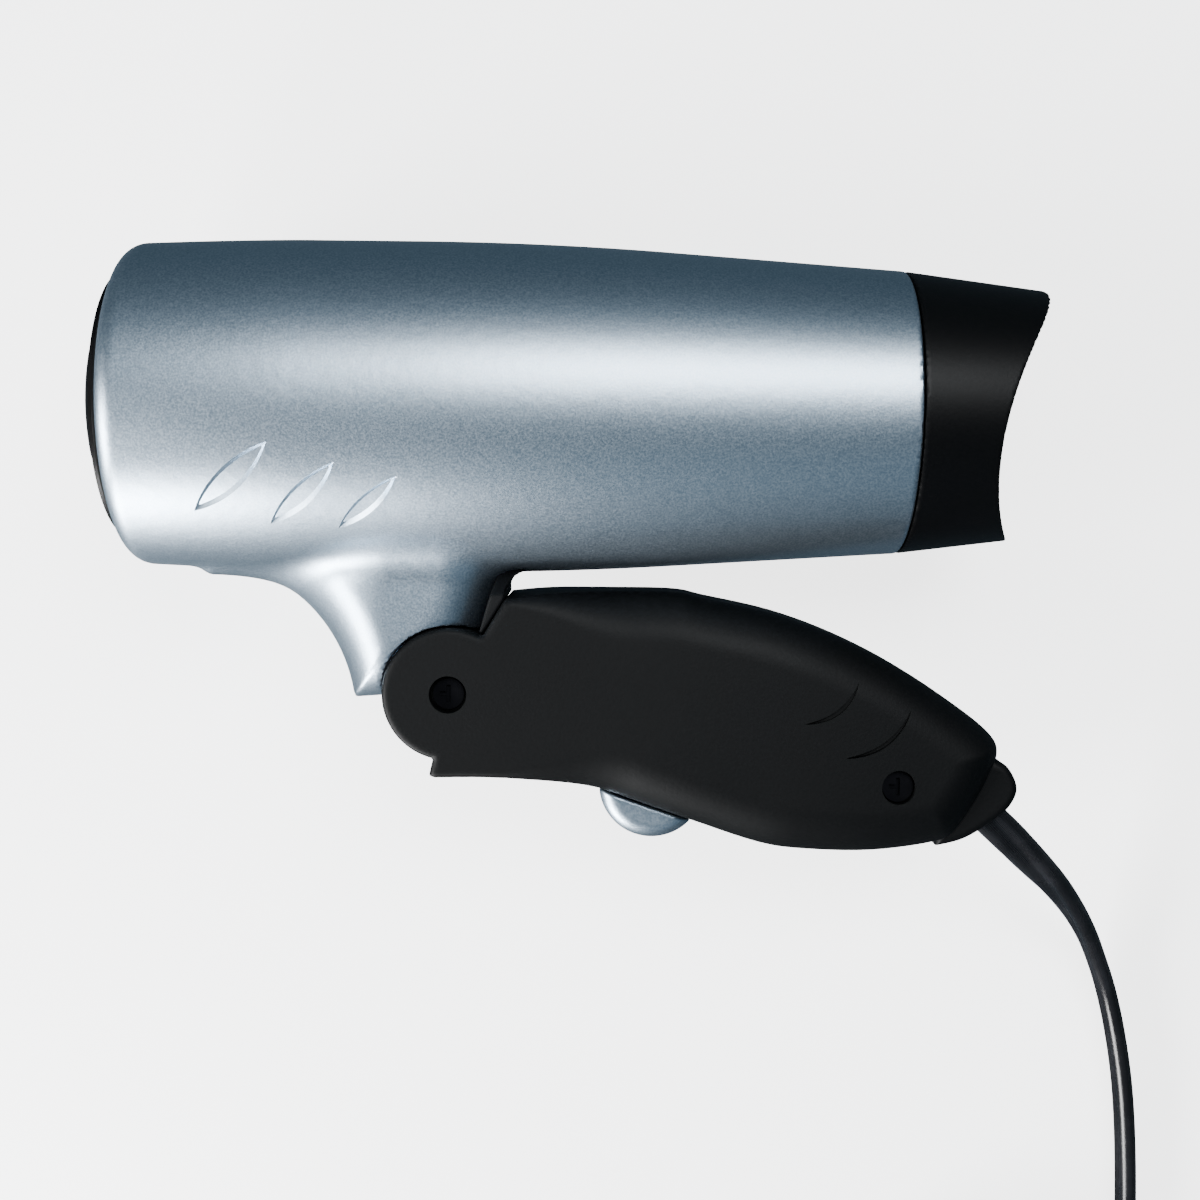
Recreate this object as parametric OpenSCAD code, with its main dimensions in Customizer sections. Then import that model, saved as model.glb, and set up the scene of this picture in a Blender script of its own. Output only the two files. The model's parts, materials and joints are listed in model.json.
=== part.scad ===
// Folding travel hair dryer, lying on its side on a table.
// X runs along the barrel from intake to nozzle, Y runs from the handle up to the
// barrel, and Z points up from the table to the side of the dryer that is on top.
// The barrel axis and the middle plane of the handle are at the height axis_z.

/* [Barrel] */
// Length of the silver shell, rim to rim
barrel_len = 150.5; // [125:0.5:185]
// Largest outer radius of the shell
barrel_r = 32.4; // [31.4:0.1:39]
// Outer radius at the rear rim
rear_r = 28.2; // [27:0.1:30]
// Outer radius at the front rim
front_r = 27.7; // [27:0.1:30]
// Wall of the silver shell
shell_wall = 2.2; // [1.6:0.1:2.8]
// Height of the domed intake grille behind the rim
dome_h = 8; // [5:0.5:12]
// Depth of the leaf-shaped recesses
leaf_deep = 0.7; // [0.3:0.1:1.2]
// Length of the first and longest leaf
leaf_len = 20.3; // [14:0.1:24]

/* [Nozzle] */
// Length of the concentrator outside the shell
nozzle_len = 27.2; // [22:0.1:40]
// Outer radius at the concentrator's mouth
mouth_r = 24.2; // [22:0.1:27]
// Wall of the concentrator at its mouth
nozzle_wall = 1.8; // [1.2:0.1:2.4]
// How far the two sides of the mouth are scooped back
scoop = 12.4; // [6:0.1:16]
// Turn of the concentrator on the barrel at rest
nozzle_turn = 15; // [0:1:90]
// Step from the shell's front opening in to the collar
collar_step = 1.5; // [1:0.1:4]
// Radial clearance of running fits
run_gap = 0.05; // [0.02:0.01:0.1]

/* [Hinge] */
// Gap between the folded handle and the barrel
fold_gap = 3; // [1:0.1:6]
// Distance of the hinge in front of the rear rim
hinge_x = 63; // [50:0.5:80]
// Radius of the round head of the handle
head_r = 12.8; // [11:0.1:14]
// Thickness of the handle at its head
head_w = 30; // [26:0.5:34]
// Thickness of the neck's tongue between the cheeks
tongue_w = 12; // [9:0.5:14]
// Radius of the hinge sleeve
sleeve_r = 3; // [2.5:0.1:3.5]
// How far the handle opens, in degrees
fold_open = 70; // [60:1:80]
// Gap between the neck and the turning head
turn_gap = 0.4; // [0.3:0.05:0.6]

/* [Handle] */
// Length of the handle from the hinge to its end
handle_len = 108; // [95:1:130]
// Scale of the handle's depth, its size from front to back
handle_depth = 46; // [42:0.5:52]
// Thickness of the handle in the grip
handle_w = 31; // [28:0.5:36]
// Wall of the handle shells
handle_wall = 2.4; // [1.8:0.1:2.8]

/* [Switch] */
// Radius of the half-round knob
knob_r = 10.5; // [9:0.1:12]
// Height of the knob above the handle
knob_h = 7.1; // [5:0.1:8]
// Thickness of the knob
knob_w = 11; // [8:0.5:14]
// Travel of the knob each way from the middle
knob_travel = 4; // [2:0.5:4]

/* [Screws] */
// Radius of the screw shanks
screw_r = 1.6; // [1.2:0.1:1.8]
// Radius of the screw heads
screw_head_r = 3; // [2.6:0.1:3.2]
// Clearance of the recess round the screw head
recess_gap = 0.6; // [0.3:0.1:1.2]

/* [Cord] */
// Width of the flat twin cord
cord_w = 7; // [5:0.5:8]
// Thickness of the flat twin cord
cord_t = 3.6; // [2.6:0.1:4]
// Radius of the coil at the middle of its turns
coil_r = 38; // [35:1:60]

/* [Hidden] */
$fn = 64;
eps = 0.01;

// Places
axis_y = 27;
axis_z = barrel_r;
rear_x = -85;
front_x = rear_x + barrel_len;
tip_x = front_x + 0.3 + nozzle_len;
handle_top = 0.431;
neck_drop = handle_top * handle_depth + fold_gap;
pivot = [rear_x + hinge_x, axis_y - barrel_r - neck_drop];
socket_r = head_r + turn_gap;
half_head = head_w / 2;
half_grip = handle_w / 2;
half_tongue = tongue_w / 2;
slot_half = half_tongue + 0.4;

// The shell is level up to taper_x, curves over taper_bend and then runs straight
taper_x = -28;
taper_bend = 48;
taper_run = front_x - taper_x - taper_bend;
taper_k = (barrel_r - front_r) / (taper_bend * taper_bend + 2 * taper_bend * taper_run);
rear_round = 4;
rear_crown = 0.9;
dome_wall = 2;
function shell_r(x) =
    x < taper_x ? barrel_r
    : x < taper_x + taper_bend ? barrel_r - taper_k * pow(x - taper_x, 2)
    : barrel_r - taper_k * (pow(taper_bend, 2)
        + 2 * taper_bend * (x - taper_x - taper_bend));
inner_front_r = front_r - shell_wall;
collar_r = inner_front_r - collar_step;

// Offset of the nozzle's round cut towards the shorter of its two lips
cut_drop = 2.7;

// Fan and motor
duct_wall = 1.8;
duct_r = barrel_r - shell_wall - 1.6;
fan_r = duct_r - duct_wall - 0.6;
motor_r = 12.1;
shaft_r = 1.2;

// Heater
heat_x0 = rear_x + 66;
heat_x1 = front_x - 11.5;
liner_in = collar_r - 0.8;
mica_half = liner_in - 4.2;

// Tail of the neck behind the head, its end face, and the arc of the neck's back
tail_out = 19.4;
tail_end = 186;
neck_arc_r = neck_drop + 5.8;
neck_arc_end = asin(4.9 / neck_arc_r);
neck_arc = [pivot[0] - tail_out - 0.3 - neck_arc_r * cos(neck_arc_end),
    axis_y - barrel_r - neck_arc_r];
neck_front = 64;
tongue_r = 10;

// Handle outline as shares of handle_len and handle_depth, measured from the hinge
handle_points = [[0.1, 0.402], [0.204, 0.426], [0.39, handle_top], [0.463, 0.402],
    [0.588, 0.339], [0.704, 0.243], [0.819, 0.109], [0.935, -0.07], [0.99, -0.18],
    [1, -0.257], [0.987, -0.343], [0.968, -0.437], [0.923, -0.596], [0.88, -0.643],
    [0.769, -0.676], [0.648, -0.67], [0.563, -0.643], [0.444, -0.554], [0.34, -0.472],
    [0.244, -0.398], [0.102, -0.352], [-0.024, -0.352]];
function on_handle(p) = [pivot[0] + p[0] * handle_len, pivot[1] + p[1] * handle_depth];
ledge = tail_end + fold_open + 1;
ledge_out = 16.2;

// Switch seat on the handle's lower edge
switch_at = on_handle([0.358, -0.486]);
switch_tilt = 18.4;
knob_lift = 0.5;
stem = 8;
slot_w = 5;
slider_in = 4;

// Screws: the seats of their heads and the depth of their shanks
end_screw = on_handle([0.806, -0.372]);
recess_r = screw_head_r + recess_gap;
end_recess_r = recess_r - 0.3;
hinge_seat = half_head - 4;
end_seat = half_grip - 4.5;
head_t = 1.8;
shank_deep = half_head - 3;
sleeve_half = half_tongue + 3;

// Cord bushing in the handle's end, and the way the cord leaves it
bush_half = 7;
cord_exit = on_handle([0.9945, -0.5457]);
exit_turn = -43;
pocket = 4;

// Route of the cord, chosen by hand: it leaves the bushing, drops to the table while it
// turns on edge, and runs to the coil
route = [[82.5, -50.6, 32.4], [85.4, -53.3, 32.4], [90.7, -58.2, 30.6], [96.8, -64.1, 26],
    [103, -70.2, 20.2], [108.5, -76.6, 14.6], [113, -83, 10], [116.2, -89, 7],
    [119.4, -97, 5], [122, -107, 4.4], [124, -119, 4.4], [125.2, -133, 4.4],
    [125.8, -150, 4.4], [126, -170, 4.4], [125.8, -192, 4.4]];
// Turn of the flat section about the route at each point, 0 flat and 90 on edge
route_turn = [0, 0, 12, 32, 54, 72, 84, 90, 90, 90, 90, 90, 90, 90, 90];

// Coil, its tie and the plug
coil_lift = 0.8;
coil_at = [84, -200];
coil_pitch = cord_t + 0.2;
coil_in = coil_r - coil_pitch - cord_t / 2;
coil_out = coil_r + coil_pitch + cord_t / 2;
coil_h = 2 * cord_w + 0.4;
tail = [[80, -241.8, 11.6], [70, -241.4, 11.2], [60, -240.4, 10], [50, -239, 8.4],
    [41, -238, 7.6], [34, -238, 7.5]];
tail_turn = [90, 80, 50, 20, 0, 0];
plug_at = [34, -238];
plug_len = 30;
plug_w = 24;
plug_t = 15;
blade_len = 16;
blade_root = 6;
blade_w = 6.3;
blade_t = 1.5;
blade_gap = 12.7;

// Helpers

// Points of an arc about c, from a0 to a1 degrees
function arc(c, r, a0, a1, n) =
    [for (i = [0:n]) let (a = a0 + (a1 - a0) * i / n) [c[0] + r * cos(a), c[1] + r * sin(a)]];

// Point t of a Catmull-Rom stretch, and the whole smooth line through points p
function catmull(a, b, c, d, t) =
    0.5 * (2 * b + (c - a) * t + (2 * a - 5 * b + 4 * c - d) * t * t
        + (3 * b - a - 3 * c + d) * t * t * t);
function smooth(p, n) = let (m = len(p) - 1) concat(
    [for (i = [0:m - 1]) for (k = [0:n - 1])
        catmull(p[max(i - 1, 0)], p[i], p[i + 1], p[min(i + 2, m)], k / n)],
    [p[m]]);

function unit(v) = v / norm(v);

// Children stand on the barrel axis: their Z becomes X
module on_barrel() {
    translate([0, axis_y, axis_z]) rotate([0, 90, 0]) children();
}

// Ring about the barrel axis from x0 to x1 between two radii
module ring(x0, x1, r_in, r_out) {
    on_barrel() rotate_extrude() translate([r_in, x0]) square([r_out - r_in, x1 - x0]);
}

// Rod about the barrel axis
module rod(x0, x1, r) {
    on_barrel() translate([0, 0, x0]) cylinder(r = r, h = x1 - x0);
}

// Children stand on the hinge axis in the middle plane
module on_hinge() {
    translate([pivot[0], pivot[1], axis_z]) children();
}

// Children lie on the switch seat: X along the travel, Y into the handle
module on_switch() {
    translate([switch_at[0], switch_at[1], axis_z]) rotate([0, 0, -switch_tilt]) children();
}

// The upper or lower half of the children, split at the middle plane
module half(side) {
    intersection() {
        children();
        translate([-200, -200, side > 0 ? axis_z : axis_z - 200]) cube([400, 400, 200]);
    }
}

// Tube with a flat section that follows points p, turned by the angles in turns
module sweep(p, turns, w, t, sides, n) {
    path = smooth(p, n);
    roll = smooth([for (a = turns) [a]], n);
    m = len(path) - 1;
    rings = [for (i = [0:m]) let (
        d = unit(path[min(i + 1, m)] - path[max(i - 1, 0)]),
        flat = unit(cross([0, 0, 1], d)),
        up = cross(d, flat),
        a = roll[i][0],
        u = flat * cos(a) + up * sin(a),
        v = up * cos(a) - flat * sin(a))
        [for (k = [0:sides - 1]) let (b = 360 * (k + 0.5) / sides)
            path[i] + u * cos(b) * w / 2 / cos(180 / sides)
                + v * sin(b) * t / 2 / cos(180 / sides)]];
    points = [for (r = rings) for (q = r) q];
    polyhedron(points = points, faces = concat(
        [[for (k = [0:sides - 1]) sides - 1 - k]],
        [for (i = [0:m - 1]) for (k = [0:sides - 1])
            let (a = i * sides + k, b = i * sides + (k + 1) % sides)
            each [[a, b, b + sides], [a, b + sides, a + sides]]],
        [[for (k = [0:sides - 1]) m * sides + k]]));
}

// Barrel

// Outline of the shell as radius over x, drawn in by inset
module shell_outline(inset) {
    polygon(concat(
        [[0, rear_x], [rear_r - inset, rear_x]],
        [for (a = [22.5:22.5:90]) [rear_r - inset + (barrel_r - rear_crown - rear_r) * sin(a),
            rear_x + rear_round * (1 - cos(a))]],
        [[barrel_r - inset, rear_x + 35]],
        [for (i = [0:6]) let (x = taper_x + taper_bend * i / 6) [shell_r(x) - inset, x]],
        [[front_r - inset, front_x], [0, front_x]]));
}

module shell_solid(inset) {
    on_barrel() rotate_extrude($fn = 96) shell_outline(inset);
}

// Space inside the shell, open at both rims
module shell_room() {
    shell_solid(shell_wall);
    rod(rear_x - 1, rear_x + 1, rear_r - shell_wall);
    rod(front_x - 1, front_x + 1, inner_front_r);
}

// A pointed leaf between two arcs
module leaf(long, wide) {
    r = (long * long + wide * wide) / (4 * wide);
    intersection() {
        translate([0, r - wide / 2]) circle(r = r);
        translate([0, wide / 2 - r]) circle(r = r);
    }
}

// Three leaves of falling size low on one side of the barrel
module barrel_leaves(side) {
    difference() {
        for (i = [0:2])
            translate([rear_x + 24.4 + 12.3 * i, axis_y, axis_z])
                rotate([side * (27 + 4.4 * i), 0, 0]) mirror([0, 0, side > 0 ? 0 : 1])
                    rotate([0, 0, 45]) translate([0, 0, barrel_r - 8])
                        linear_extrude(20) leaf(leaf_len - 2.05 * i, 4.6 - 0.6 * i);
        shell_solid(leaf_deep);
    }
}

// Side view of the silver neck: swept back edge, tail behind the head, round socket
module neck_outline() {
    polygon(concat(
        arc(neck_arc, neck_arc_r, 90, neck_arc_end, 12),
        [[pivot[0] + tail_out * cos(tail_end), pivot[1] + tail_out * sin(tail_end)]],
        arc(pivot, socket_r, tail_end, neck_front, 20),
        [[pivot[0] + 9, axis_y - barrel_r + 0.2], [pivot[0] + 9, axis_y],
            [neck_arc[0], axis_y]]));
}

// The neck as a slab whose back edge narrows into the barrel
module neck() {
    intersection() {
        translate([0, 0, axis_z - half_head]) linear_extrude(head_w) neck_outline();
        translate([0, axis_y, axis_z]) rotate([90, 0, 0]) linear_extrude(100) polygon([
            [neck_arc[0] - 1, -3], [neck_arc[0] + 7, -6.5], [neck_arc[0] + 14, -12],
            [neck_arc[0] + 22, -half_head], [neck_arc[0] + 90, -half_head],
            [neck_arc[0] + 90, half_head], [neck_arc[0] + 22, half_head],
            [neck_arc[0] + 14, 12], [neck_arc[0] + 7, 6.5], [neck_arc[0] - 1, 3]]);
    }
}

// Tongue that reaches into the handle's head and carries the hinge
module tongue() {
    on_hinge() difference() {
        translate([0, 0, -half_tongue]) linear_extrude(tongue_w) union() {
            circle(r = tongue_r);
            polygon(concat([[0, 0]], arc([0, 0], socket_r + 2, 84, 150, 8)));
        }
        translate([0, 0, -half_tongue - 1])
            cylinder(r = sleeve_r + run_gap, h = tongue_w + 2);
        // way for the leads past the sleeve
        translate([-sleeve_r - 3.2, -tongue_r, 0]) rotate([-90, 0, 0])
            cylinder(r = 2, h = 40);
    }
}

module barrel_shell(side) {
    half(side) {
        difference() {
            union() {
                shell_solid(0);
                neck();
            }
            shell_room();
            barrel_leaves(side);
            // way for the leads from the barrel down to the hinge
            translate([pivot[0] - sleeve_r - 3.2, axis_y - barrel_r - neck_drop, axis_z])
                rotate([-90, 0, 0]) cylinder(r = 4, h = neck_drop + 6);
        }
        tongue();
    }
}

module barrel_shell_right() color("lightsteelblue") barrel_shell(1);
module barrel_shell_left() color("lightsteelblue") barrel_shell(-1);

// Black web that closes the front of the neck above the handle's shoulder
module neck_cover() color([0.11, 0.11, 0.12]) {
    foot = pivot + socket_r * [cos(neck_front), sin(neck_front)];
    shoulder = on_handle(handle_points[0]);
    low = axis_y - barrel_r;
    difference() {
        translate([0, 0, axis_z - half_head + 1]) linear_extrude(head_w - 2)
            polygon(concat(
                [foot, foot + [0.5, 0.1], shoulder + [-0.45, 0.1]],
                arc([shoulder[0] + 4.6, low - 4.2], 5, 165, 95, 5),
                [[shoulder[0] + 4.6, low + 3], [pivot[0] + 9, low + 3],
                    [pivot[0] + 9, low + 0.2]]));
        shell_solid(0);
    }
}

// Domed intake with rings of slots, and the skirt that fits inside the rim
module intake_grille() color([0.09, 0.09, 0.1]) {
    ball = (pow(rear_r, 2) + pow(dome_h, 2)) / (2 * dome_h);
    edge = asin(rear_r / ball);
    edge_in = acos((ball - dome_h) / (ball - dome_wall));
    skirt_r = rear_r - shell_wall - 0.1;
    difference() {
        union() {
            on_barrel() translate([0, 0, rear_x - dome_h + ball]) rotate_extrude()
                polygon(concat(
                    [for (i = [0:8]) let (a = edge * i / 8) [ball * sin(a), -ball * cos(a)]],
                    [for (i = [8:-1:0]) let (a = edge_in * i / 8)
                        [(ball - dome_wall) * sin(a), (dome_wall - ball) * cos(a)]]));
            ring(rear_x - 2, rear_x, skirt_r - 2.4, skirt_r);
            ring(rear_x - 0.5, rear_x + 8, skirt_r - 2.4, skirt_r);
        }
        for (r = [5:4.2:rear_r - 8]) difference() {
            ring(rear_x - dome_h - 1, rear_x + 1, r, r + 2.4);
            for (a = [0:60:120]) translate([rear_x - dome_h - 2, axis_y, axis_z])
                rotate([a, 0, 0]) translate([0, -30, -1]) cube([dome_h + 4, 60, 2]);
        }
    }
}

module filter_screen() color([0.45, 0.45, 0.46])
    ring(rear_x + 8, rear_x + 8.6, 0.6, rear_r - shell_wall - 0.3);

// Fan duct with its vanes and the sleeve that holds the motor
module fan_duct() color([0.8, 0.8, 0.78]) {
    ring(rear_x + 11, rear_x + 62, duct_r - duct_wall, duct_r);
    ring(rear_x + 31, rear_x + 55, motor_r + run_gap, motor_r + 1.5);
    for (a = [0:60:300]) translate([rear_x + 35, axis_y, axis_z]) rotate([a, 0, 0])
        translate([0, motor_r + 1, -0.8]) cube([16, duct_r - motor_r - 2, 1.6]);
}

module motor() color([0.62, 0.63, 0.65]) difference() {
    union() {
        rod(rear_x + 31, rear_x + 59, motor_r);
        rod(rear_x + 28.5, rear_x + 31, 4);
        for (s = [-1, 1]) translate([rear_x + 59, axis_y + 7 * s - 0.4, axis_z - 1.2])
            cube([2, 0.8, 2.4]);
    }
    rod(rear_x + 28, rear_x + 60, shaft_r + run_gap);
}

module motor_shaft() color([0.75, 0.75, 0.76]) rod(rear_x + 13.5, rear_x + 57, shaft_r);

// Fan with inclined blades on a hub
module fan_impeller() color([0.16, 0.16, 0.17]) {
    difference() {
        union() {
            rod(rear_x + 15, rear_x + 27, 9);
            intersection() {
                for (a = [0:360 / 7:359]) translate([rear_x + 21, axis_y, axis_z])
                    rotate([a, 0, 0]) translate([0, 8, 0])
                        rotate([0, 38, 0]) translate([-6.5, 0, -0.6]) cube([13, 20, 1.2]);
                rod(rear_x + 15, rear_x + 27, fan_r);
            }
        }
        rod(rear_x + 10, rear_x + 30, shaft_r);
    }
}

module rectifier_board() color([0.2, 0.4, 0.25]) {
    rod(rear_x + 61, rear_x + 62.6, 11.5);
    for (i = [-1.5:1:1.5])
        translate([rear_x + 63.8, axis_y + 4.4 * i, axis_z - 3]) cylinder(r = 1.4, h = 6);
}

// Heater

// Crossed mica boards with tabs that centre them in the liner
module heater_frame() color([0.78, 0.7, 0.52]) for (a = [0, 90])
    translate([0, axis_y, axis_z]) rotate([a, 0, 0]) {
        translate([heat_x0, -mica_half, -0.4]) cube([heat_x1 - heat_x0 - 1, 2 * mica_half, 0.8]);
        for (x = [heat_x0, heat_x1 - 4])
            translate([x, 0.1 - liner_in, -0.4]) cube([3, 2 * liner_in - 0.2, 0.8]);
    }

// Heating wire wound round the mica boards
module heater_coil() color([0.55, 0.5, 0.45]) {
    turns = 9;
    steps = 16;
    wire_r = 0.45;
    coil_x0 = heat_x0 + 6;
    step_x = (heat_x1 - heat_x0 - 14) / (turns * steps);
    translate([0, axis_y, axis_z]) sweep_wire(
        [for (i = [0:turns * steps]) let (a = 360 * i / steps)
            [coil_x0 + i * step_x, (mica_half + 0.7) * cos(a), (mica_half + 0.7) * sin(a)]],
        wire_r, 6);
}

// Thin round wire along points that wind about X
module sweep_wire(p, r, sides) {
    m = len(p) - 1;
    points = [for (i = [0:m]) let (out = unit([0, p[i][1], p[i][2]]))
        for (k = [0:sides - 1]) let (b = 360 * k / sides)
            p[i] + r * (cos(b) * out + sin(b) * [1, 0, 0])];
    polyhedron(points = points, faces = concat(
        [[for (k = [0:sides - 1]) sides - 1 - k]],
        [for (i = [0:m - 1]) for (k = [0:sides - 1])
            let (a = i * sides + k, b = i * sides + (k + 1) % sides)
            each [[a, b, b + sides], [a, b + sides, a + sides]]],
        [[for (k = [0:sides - 1]) m * sides + k]]));
}

module heater_liner() color([0.82, 0.78, 0.68])
    ring(heat_x0 - 1, heat_x1, liner_in, collar_r);

module thermostat() color([0.72, 0.7, 0.62]) translate([heat_x1 - 16, axis_y + 10, axis_z + 0.4]) {
    cylinder(r = 5.5, h = 2.4);
    cylinder(r = 3.6, h = 4);
}

module thermal_fuse() color([0.85, 0.82, 0.7])
    translate([heat_x1 - 24, axis_y - 9, axis_z + 2.4]) rotate([0, 90, 0])
        cylinder(r = 2, h = 12);

// Collar with the outlet grille, which the concentrator turns on
module outlet_collar() color([0.1, 0.1, 0.11]) {
    flange_in = 5;
    ring(heat_x1, front_x + 7, collar_r - 1.6, collar_r);
    ring(front_x - 7.5, front_x - flange_in, collar_r - 1, shell_r(front_x - flange_in) - shell_wall);
    for (r = [3, 9.5, 16]) ring(front_x - 3.5, front_x - 1.5, r, r + 1);
    rod(front_x - 3.5, front_x - 1.5, 2);
    for (a = [0:45:315]) translate([front_x - 3.5, axis_y, axis_z]) rotate([a, 0, 0])
        translate([0, 1, -0.5]) cube([2, collar_r - 1.8, 1]);
}

// Concentrator nozzle, its two sides scooped back by a round cut
module concentrator() color([0.06, 0.06, 0.065]) {
    seat = 7.5;
    x0 = front_x + 0.3;
    bore = collar_r + run_gap;
    cut_r = (pow(scoop, 2) + pow(mouth_r + cut_drop, 2)) / (2 * scoop);
    difference() {
        on_barrel() rotate_extrude($fn = 96) polygon([[bore, x0], [front_r - 0.05, x0],
            [mouth_r, tip_x], [mouth_r - nozzle_wall, tip_x], [bore, x0 + seat]]);
        translate([tip_x - scoop + cut_r, axis_y, axis_z]) rotate([nozzle_turn, 0, 0])
            translate([0, -cut_drop, 0]) cylinder(r = cut_r, h = 100, center = true, $fn = 96);
    }
}

// Hinge

module hinge_sleeve() color([0.7, 0.7, 0.72]) on_hinge() difference() {
    translate([0, 0, -sleeve_half]) cylinder(r = sleeve_r, h = 2 * sleeve_half);
    translate([0, 0, -30]) cylinder(r = screw_r + 0.15, h = 60);
}

// Screw with a cross recess, its head down in the recess on top
module screw(at, seat) color([0.35, 0.35, 0.37]) translate([at[0], at[1], axis_z])
    difference() {
        union() {
            translate([0, 0, seat]) cylinder(r = screw_head_r, h = head_t);
            translate([0, 0, -shank_deep]) cylinder(r = screw_r, h = seat + shank_deep + eps);
        }
        for (a = [0, 90]) translate([0, 0, seat + head_t]) rotate([0, 0, a])
            cube([3.2, 0.7, 1.6], center = true);
    }

module hinge_screw() screw(pivot, hinge_seat);
module handle_screw() screw(end_screw, end_seat);

// Thin washers between the tongue and the cheeks
module hinge_washers() color([0.75, 0.75, 0.72]) on_hinge() for (s = [-1, 1])
    translate([0, 0, s * (half_tongue + 0.2)]) difference() {
        cylinder(r = 6.5, h = 0.3, center = true);
        cylinder(r = sleeve_r + run_gap, h = 1, center = true);
    }

// Handle

module handle_outline() {
    polygon(concat(
        smooth([for (p = handle_points) on_handle(p)], 4),
        [for (r = [ledge_out, head_r - 0.4]) pivot + r * [cos(ledge), sin(ledge)]],
        [pivot, pivot + socket_r * [cos(30), sin(30)],
            pivot + (socket_r + 0.2) * [cos(neck_front - 4), sin(neck_front - 4)]]));
}

// Outside of the handle: straight in the middle, drawn in towards the flat sides
module handle_solid() {
    straight = half_grip - 6;
    middle = on_handle([0.5, -0.12]);
    for (s = [0, 1]) translate([middle[0], middle[1], axis_z]) mirror([0, 0, s]) {
        linear_extrude(straight) translate(-middle) handle_outline();
        translate([0, 0, straight]) linear_extrude(6, scale = [0.95, 0.86], slices = 1)
            translate(-middle) handle_outline();
    }
    on_hinge() cylinder(r = head_r, h = head_w, center = true);
}

module handle_room() {
    room_half = half_grip - handle_wall - 1.6;
    translate([0, 0, axis_z - room_half]) linear_extrude(2 * room_half)
        intersection() {
            offset(delta = -handle_wall) handle_outline();
            translate([pivot[0] + socket_r + 3, pivot[1] - 60]) square([200, 120]);
        }
}

// Post for the end screw, joined to the shell's side
module post(side) {
    translate([end_screw[0], end_screw[1], axis_z + (side > 0 ? 0 : -half_grip + 1)])
        cylinder(r = recess_r + 1.4, h = half_grip - 1);
}

// Side view of the bushing that closes the handle's end
module bush_outline() {
    polygon(concat(
        [on_handle([0.93, -0.3])],
        smooth([for (p = [[0.99, -0.272], [1.018, -0.308], [1.036, -0.385], [1.032, -0.45],
            [1.008, -0.52], [0.945, -0.62], [0.89, -0.657]]) on_handle(p)], 4),
        [on_handle([0.89, -0.54]), on_handle([0.93, -0.42])]));
}

module handle_shell(side) {
    half(side) difference() {
        union() {
            difference() {
                handle_solid();
                handle_room();
            }
            post(side);
        }
        // slot for the tongue, pockets for the sleeve and the hole for the screw
        on_hinge() cylinder(r = socket_r + 0.2, h = 2 * slot_half, center = true);
        on_hinge() cylinder(r = sleeve_r, h = 2 * sleeve_half, center = true);
        for (at = [pivot, end_screw]) translate([at[0], at[1], axis_z]) {
            translate([0, 0, -shank_deep]) cylinder(r = screw_r, h = shank_deep);
            cylinder(r = screw_r + 0.15, h = 30);
        }
        translate([pivot[0], pivot[1], axis_z + hinge_seat]) cylinder(r = recess_r, h = 30);
        translate([end_screw[0], end_screw[1], axis_z + end_seat])
            cylinder(r = end_recess_r, h = 30);
        // way for the leads from the hinge into the grip
        translate([pivot[0] + tongue_r, pivot[1] - 3, axis_z - 2.5]) cube([9, 6, 5]);
        // slot for the switch stem
        on_switch() translate([-stem / 2 - knob_travel - 0.4, -3, -slot_w / 2 - 0.3])
            cube([stem + 2 * knob_travel + 0.8, 12, slot_w + 0.6]);
        // seat of the cord bushing
        translate([0, 0, axis_z - bush_half]) linear_extrude(2 * bush_half) bush_outline();
        // two leaves towards the end of the grip
        for (i = [0, 1]) translate([
                pivot[0] + (0.655 + 0.09 * i) * handle_len,
                pivot[1] + (0.14 - 0.13 * i) * handle_depth, axis_z])
            mirror([0, 0, side > 0 ? 0 : 1]) rotate([0, 0, 37])
                translate([0, 0, half_grip - 0.5]) linear_extrude(5) leaf(14 + i, 3.4);
    }
}

module handle_shell_right() color([0.12, 0.12, 0.13]) handle_shell(1);
module handle_shell_left() color([0.12, 0.12, 0.13]) handle_shell(-1);

// Switch

module switch_body() color([0.2, 0.2, 0.21]) on_switch() {
    translate([-9, slider_in + 4.3, -6]) cube([18, 10, 12]);
    for (x = [-5, 0, 5]) translate([x - 0.4, slider_in + 14.3, -1.5]) cube([0.8, 3, 3]);
}

module switch_slider() color([0.3, 0.3, 0.31]) on_switch() {
    translate([-stem / 2 - 1, slider_in, -4]) cube([stem + 2, 3, 8]);
    translate([-1.5, slider_in + 3, -1.5]) cube([3, 1, 3]);
}

// Half-round knob on a stem that goes through the slot to the slider
module switch_knob() color("lightsteelblue") on_switch() {
    intersection() {
        translate([0, knob_r - knob_h, -knob_w / 2]) cylinder(r = knob_r, h = knob_w);
        translate([-20, -20 - knob_lift, -20]) cube([40, 20, 40]);
    }
    translate([-stem / 2, -knob_lift, -slot_w / 2]) cube([stem, slider_in + knob_lift, slot_w]);
}

// Two leads from the bushing round the end screw's post to the switch
module lead_wires() color([0.25, 0.25, 0.6]) for (s = [-1, 1]) {
    z = axis_z + 3 * s;
    start = on_handle([0.88, -0.55]);
    under = end_screw - [0, recess_r + 4];
    in = switch_at + [10.4 * cos(switch_tilt) + 13 * sin(switch_tilt),
        13 * cos(switch_tilt) - 10.4 * sin(switch_tilt)];
    sweep([[start[0], start[1], z], [under[0], under[1], z], [in[0], in[1], z]],
        [0, 0, 0], 2, 2, 8, 5);
}

// Cord

module cord_bushing() color([0.1, 0.1, 0.11]) difference() {
    translate([0, 0, axis_z - bush_half]) linear_extrude(2 * bush_half) bush_outline();
    translate([cord_exit[0], cord_exit[1], axis_z]) rotate([0, 0, exit_turn])
        translate([-pocket, -cord_w / 2 - 0.3, -cord_t / 2 - 0.3])
            cube([20, cord_w + 0.6, cord_t + 0.6]);
}

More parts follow.
